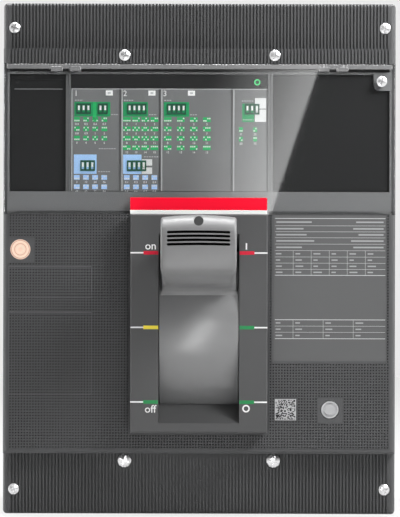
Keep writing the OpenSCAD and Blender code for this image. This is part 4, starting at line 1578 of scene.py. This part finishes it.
@dataclass
class TripUnit:
    """The adjustable trip unit with its switches, lights and printed settings.

    A legend is given by its left and right end and the height of its middle, and the rating
    panel's rule by its distances from the panel's left, right and, twice, top edge.
    """

    row_pitch: float = 5.03
    label_drop: float = 3.0
    label_height: float = 1.15
    diagram_height: float = 2.5
    dot: float = 0.72
    dot_pitch: float = 1.02
    dot_rise: float = 0.62
    number_z: float = 87.2
    number_height: float = 3.1
    bold: float = 0.02
    overprint: float = 0.02
    column_edges: tuple[float, ...] = (-68.5, -41.55, -20.25, 18.35)
    column_line: float = 0.5
    top_line: float = 0.45
    line_inset: float = 0.2
    panel_rule: Bounds = (2.2, 1.6, 7.9, 7.5)
    # Places of the indicator lights, and the size of the painted glint printed on each.
    lights: tuple[float, ...] = (-48.5, -25.6, -4.4)
    light_window: tuple[float, float] = (1.6, 1.0)
    strip_reach: float = 0.7
    strip_rise: float = 0.4
    strip_corner: float = 0.3
    ready_ring: tuple[float, float] = (0.98, 0.6)
    dash: float = 0.9
    dash_height: float = 0.44
    legends: tuple[tuple[float, float, float], ...] = (
        (-66.9, -62.6, 84.9),
        (-40.6, -35.6, 84.9),
        (-18.9, -15.2, 84.9),
        (22.6, 28.6, 84.7),
        (-47.4, -44.0, 77.2),
        (-27.2, -23.0, 77.2),
        (-5.1, -1.4, 77.2),
        (-54.0, -44.6, 58.9),
        (-54.3, -47.6, 46.6),
        (-29.8, -21.6, 54.6),
        (23.2, 28.9, 74.6),
    )
    green_fields: tuple[Bounds, ...] = (
        (-67.2, -47.9, 76.2, 84.0),
        (-41.0, -27.7, 76.2, 84.0),
        (-19.2, -5.6, 76.2, 84.0),
        (22.9, 29.3, 73.5, 83.3),
    )
    bright_fields: tuple[Bounds, ...] = ((-57.2, -55.4, 73.4, 84.0),)
    blue_fields: tuple[Bounds, ...] = (
        (-67.4, -55.2, 45.4, 55.8),
        (-41.0, -31.1, 45.4, 55.8),
    )
    white_tabs: tuple[Bounds, ...] = (
        (-30.9, -25.4, 49.9, 53.3),
        (-30.9, -25.4, 45.4, 48.9),
        (29.5, 35.7, 73.5, 86.3),
    )
    tab_rules: tuple[Bounds, ...] = (
        (29.5, 35.7, 80.2, 80.55),
        (29.35, 29.6, 73.3, 86.5),
    )

    def build(self) -> None:
        """Dresses the trip unit and prints its settings."""
        dress("trip_unit", TRIP_FACE)
        for node in ("trip_unit_header", "rating_panel", "blank_panel"):
            dress(node, DARK_PANEL)
        dress("switch_blocks", SWITCH_GREEN)
        for node in ("switch_levers", "indicator_lights"):
            dress(node, WHITE_PLASTIC)
        dress("ready_light", READY_GREEN)
        self._strips()
        self._fields()
        self._settings()
        self._lines()
        self._legends()

    def _strips(self) -> None:
        """Lays the red strip and its white trim on the front of the clear cover."""
        front = Face.of("clear_cover").depth
        edges = Face.of("surround")
        for name, finish, slot in (
            ("name_strip", RED_STRIP, "red_strip"),
            ("strip_trim", WHITE_PLASTIC, "white_plastic"),
        ):
            strip = Face.of(name)
            tile = Tile(edges.left - self.strip_reach, edges.right, strip.bottom, strip.top,
                        front, front + self.strip_rise, self.strip_corner)
            piece = add_piece(name + "_tile", tile.mesh(name), finish, Body.HOUSING)
            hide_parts(name)

    def _fields(self) -> None:
        """Prints the coloured fields round the switches and the white tabs beside them."""
        depth = Face.of("trip_unit").depth
        for name, ink, layer, places in (
            ("green_fields", FIELD_GREEN, 0, self.green_fields),
            ("bright_green_field", BRIGHT_GREEN, 1, self.bright_fields),
            ("blue_fields", FIELD_BLUE, 0, self.blue_fields),
            ("white_tabs", WHITE_INK, 1, self.white_tabs),
            ("white_tab_rules", BLACK_INK, 2, self.tab_rules),
        ):
            sheet = PrintedSheet(depth + layer * self.overprint)
            for place in places:
                sheet.bar(*place)
            sheet.to_piece(name, ink, "trip_unit_face")

    @staticmethod
    def _groups() -> tuple[SettingGroup, ...]:
        """Lists the blocks of setting diagrams."""
        tenths = tuple(f"0.{n}" for n in range(1, 10))
        counts = tuple(str(n) for n in range(16))
        times = ("3", *(str(n) for n in range(12, 85, 12)))
        return (
            SettingGroup(-65.8, 74.6, 4, 3, 4.9, 3, tenths[3:] + counts[1:7]),
            SettingGroup(-39.0, 74.6, 4, 4, 4.93, 4, counts),
            SettingGroup(-17.1, 74.6, 4, 4, 7.0, 4, counts),
            SettingGroup(22.2, 69.3, 2, 2, 7.6, 2, ("0", "25", "50", "75")),
            SettingGroup(-65.8, 43.5, 4, 2, 4.9, 3, times, blue=True),
            SettingGroup(-39.0, 43.5, 4, 2, 4.93, 3, tenths[:8], blue=True),
        )

    def _settings(self) -> None:
        """Prints each setting's diagram, its dots and its number."""
        depth = Face.of("trip_unit").depth
        greens, blues = PrintedSheet(depth), PrintedSheet(depth)
        marks = PrintedSheet(depth + self.overprint)
        for group in self._groups():
            sheet = blues if group.blue else greens
            for i in range(group.columns * group.rows):
                row, column = divmod(i, group.columns)
                x, z = group.x + column * group.pitch, group.z - row * self.row_pitch
                sheet.spot(x, z, group.dots * self.dot_pitch, self.diagram_height)
                for k in range(group.dots):
                    up = (i >> (group.dots - 1 - k)) & 1
                    offset = (k - (group.dots - 1) / 2) * self.dot_pitch
                    rise = self.dot_rise if up else -self.dot_rise
                    marks.spot(x + offset, z + rise, self.dot, self.dot)
                marks.word(group.labels[i], x, z - self.label_drop, self.label_height, self.bold)
        for number, x in (("1", -66.3), ("2", -40.0), ("3", -18.6)):
            marks.word(number, x, self.number_z, self.number_height, self.bold)
        greens.to_piece("setting_diagrams_green", BRIGHT_GREEN, "trip_unit_face")
        blues.to_piece("setting_diagrams_blue", FIELD_BLUE, "trip_unit_face")
        marks.to_piece("setting_marks", WHITE_INK, "trip_unit_face")

    def _lines(self) -> None:
        """Prints pale lines as painted highlights of the column grooves, a pale top line, the rating
        panel's rule and painted glints on the lights.
        """
        unit = Face.of("trip_unit")
        lines = PrintedSheet(unit.depth)
        half = self.column_line / 2
        # The pale lines along the columns' edges are painted highlights, standing in for the lit sides
        # of the grooves there.
        for x in self.column_edges:
            lines.bar(x - half, x + half, unit.bottom, unit.top)
        lines.bar(unit.left + self.line_inset, unit.right - self.line_inset,
                  unit.top - self.top_line, unit.top)
        lines.to_piece("column_lines", PALE_INK, "trip_unit_face")
        panel = Face.of("rating_panel")
        rule = PrintedSheet(panel.depth)
        left, right, low, high = self.panel_rule
        rule.bar(panel.left + left, panel.right - right, panel.top - low, panel.top - high)
        rule.to_piece("rating_rule", GREY_INK, "dark_panel")
        lights = Face.of("indicator_lights")
        windows = PrintedSheet(lights.depth)
        # The spots printed on the indicator lights are painted glints.
        for x in self.lights:
            windows.spot(x, lights.z, *self.light_window)
        windows.to_piece("painted_glints", GLINT_INK, "white_plastic")

    def _legends(self) -> None:
        """Prints the ready light's ring and plain dashes in place of the small legends."""
        light = Face.of("ready_light")
        ring = PrintedSheet(light.depth)
        outer, inner = self.ready_ring
        ring.ring(light.x, light.z, light.radius * outer, light.radius * inner)
        ring.to_piece("ready_ring", RING_GREEN, "ready_green")
        dashes = PrintedSheet(Face.of("trip_unit").depth + self.overprint)
        half = self.dash_height / 2
        for left, right, z in self.legends:
            while left < right:
                dashes.bar(left, min(left + self.dash, right), z - half, z + half)
                left += self.dash * 1.5
        dashes.to_piece("legend_dashes", PALE_INK, "trip_unit_face")


@dataclass
class Fixings:
    """The screws, the terminal bars and the clear cover."""

    def build(self) -> None:
        """Dresses the metal parts and the clear cover."""
        for screws in ("corner_screws", "main_cover_screws", "load_cover_screws",
                       "clear_cover_screw"):
            dress(screws, ZINC)
        for end in ("line", "load"):
            for pole in ("left", "middle", "right"):
                dress(f"{end}_bar_{pole}", COPPER)
        dress("clear_cover", CLEAR)


# ---- studio ----


@dataclass(frozen=True)
class Softbox:
    """A soft lamp: its place, aim and size in metres and its power in watts.

    It leans about its own axis by an angle in radians, and a lamp for sheen alone lights no
    matt surface.
    """

    name: str
    place: Place
    aim: Place
    width: float
    height: float
    power: float
    lean: float = 0.0
    sheen_only: bool = False

    def build(self) -> None:
        """Adds the lamp."""
        lamp = bpy.data.lights.new(self.name, "AREA")
        lamp.shape = "RECTANGLE"
        lamp.size = self.width
        lamp.size_y = self.height
        lamp.energy = self.power
        holder = bpy.data.objects.new(self.name, lamp)
        holder.location = self.place
        turn = (Vector(self.aim) - Vector(self.place)).to_track_quat("-Z", "Y")
        holder.rotation_euler = (turn @ Quaternion((0.0, 0.0, 1.0), self.lean)).to_euler()
        holder.visible_diffuse = not self.sheen_only
        bpy.context.scene.collection.objects.link(holder)


@dataclass
class Studio:
    """The floor, the backdrop, the lamps, the reflector and the camera.

    Its lengths are in metres. World is the strength of the light from all round. The opening is
    where the mirrored tent has darkened half way, as the cosine of the angle from straight in
    front of the cover, and its tone is what it darkens to.
    """

    floor_half: float = 3.0
    backdrop: float = 1.6
    backdrop_top: float = 2.5
    world: float = 0.05
    opening: float = 0.7
    opening_rim: float = 0.3
    opening_tone: float = 0.08
    card_y: float = -2.11
    card_bottom: float = -0.5
    card_top: float = 0.42
    lens_height: float = 24.0
    camera_distance: float = 1.445
    aside: float = 0.009
    seen_height: float = 0.27662
    seen_x: float = 0.00043
    seen_z: float = 0.00016
    roll: float = -0.15

    def build(self) -> None:
        """Sets the whole studio up."""
        bpy.context.scene.view_settings.view_transform = "Standard"
        self._world()
        self._floor()
        self._reflector()
        for lamp in self._lamps():
            lamp.build()
        self._camera()

    @staticmethod
    def _lamps() -> tuple[Softbox, ...]:
        """Lists the lamps."""
        cover = (0.0, -0.13, 0.0)
        side = (0.0, -0.1, 0.05)
        skirt = (-0.002, 0.0, -0.071)
        return (
            Softbox("lamp_key", (0.34, -0.4, 0.32), cover, 0.18, 0.18, 2.95),
            Softbox("lamp_fill", (0.35, -1.5, 0.75), cover, 1.1, 0.9, 3.4),
            Softbox("lamp_top", (0.1, -0.45, 1.0), cover, 0.7, 0.3, 4.6),
            Softbox("lamp_overhead", (0.0, 0.03, 1.1), (0.0, -0.15, 0.0), 0.9, 0.16, 20.0),
            Softbox("lamp_right", (1.1, -0.1, 0.05), side, 0.2, 1.2, 9.0),
            Softbox("lamp_left", (-1.1, -0.1, 0.05), side, 0.2, 1.2, 14.0),
            Softbox("lamp_sheen", (-0.002, -0.3, -0.071), skirt, 0.028, 0.125, 0.085,
                    lean=-0.3, sheen_only=True),
        )

    def _world(self) -> None:
        """Lights the scene evenly from a white tent, whose opening behind the camera is dark."""
        world = bpy.data.worlds.new("studio_world")
        bpy.context.scene.world = world
        graph = Graph("studio_world", world)
        around = Vec(graph, graph.node("ShaderNodeTexCoord", {}, {}).outputs["Generated"])
        opening = (0.0 - around.axis("Y")).above(self.opening, self.opening_rim)
        tent = graph.mix(opening, WHITE, (self.opening_tone,) * 3)
        even, shown = (
            graph.node("ShaderNodeBackground", {}, {"Color": colour, "Strength": strength})
            for colour, strength in ((WHITE, self.world), (tent, 1.0))
        )
        both = {0: graph.shown_rays(), 1: even.outputs[0], 2: shown.outputs[0]}
        mixed = graph.node("ShaderNodeMixShader", {}, both)
        graph.node("ShaderNodeOutputWorld", {}, {"Surface": mixed.outputs[0]})

    @staticmethod
    def _sheet(name: str, points: list[Place], finish: Finish) -> bpy.types.Object:
        """Adds a flat sheet that belongs to the studio.

        Args:
            name: Its name.
            points: Its four corners.
            finish: The finish to build.

        Returns:
            The sheet.
        """
        mesh = bpy.data.meshes.new(name)
        mesh.from_pydata(points, [], [(0, 1, 2, 3)])
        mesh.materials.append(finish.material())
        sheet = bpy.data.objects.new(name, mesh)
        bpy.context.scene.collection.objects.link(sheet)
        return sheet

    def _floor(self) -> None:
        """Lays the floor and hangs the backdrop, both pale."""
        z, top = CAD_BOX[0].z, self.backdrop_top
        half, back = self.floor_half, self.backdrop
        floor = [(-half, -half, z), (half, -half, z), (half, back, z), (-half, back, z)]
        self._sheet("floor", floor, Paper("floor_paper"))
        wall = [(-half, back, z), (half, back, z), (half, back, top), (-half, back, top)]
        self._sheet("backdrop", wall, Paper("backdrop_paper"))

    def _reflector(self) -> None:
        """Hangs the slanting card that the clear cover mirrors."""
        glow = SlantedGlow("reflector_card", run=0.324, level=0.0737, reach=0.0843, width=0.134)
        low, high = glow.edge(self.card_bottom), glow.edge(self.card_top)
        points = [
            (low - glow.width, self.card_y, self.card_bottom),
            (low, self.card_y, self.card_bottom),
            (high, self.card_y, self.card_top),
            (high - glow.width, self.card_y, self.card_top),
        ]
        card = self._sheet("reflector", points, glow)
        card.visible_camera = False
        card.visible_diffuse = False
        card.visible_shadow = False

    def _camera(self) -> None:
        """Sets the camera in front of the cover, a little aside, with its view shifted back."""
        front = Face.of("data_plate").depth * MM
        camera = bpy.data.cameras.new("camera")
        camera.sensor_fit = "VERTICAL"
        camera.sensor_height = self.lens_height
        camera.lens = self.lens_height * self.camera_distance / self.seen_height
        camera.shift_x = (self.seen_x - self.aside) / self.seen_height
        camera.shift_y = self.seen_z / self.seen_height
        camera.clip_start = 0.05
        holder = bpy.data.objects.new("camera", camera)
        holder.location = (self.aside, -(front + self.camera_distance), 0.0)
        holder.rotation_euler = (math.pi / 2, math.radians(self.roll), 0.0)
        bpy.context.scene.collection.objects.link(holder)
        bpy.context.scene.camera = holder


def main() -> None:
    """Builds every sub-assembly and the studio, in order."""
    logging.basicConfig(level=logging.INFO, format="%(name)s: %(message)s")
    for part in (Housing(), Plates(), Surround(), Lever(), TripUnit(), Fixings(), Studio()):
        LOG.info("building %s", type(part).__name__)
        part.build()


if __name__ == "__main__":
    main()
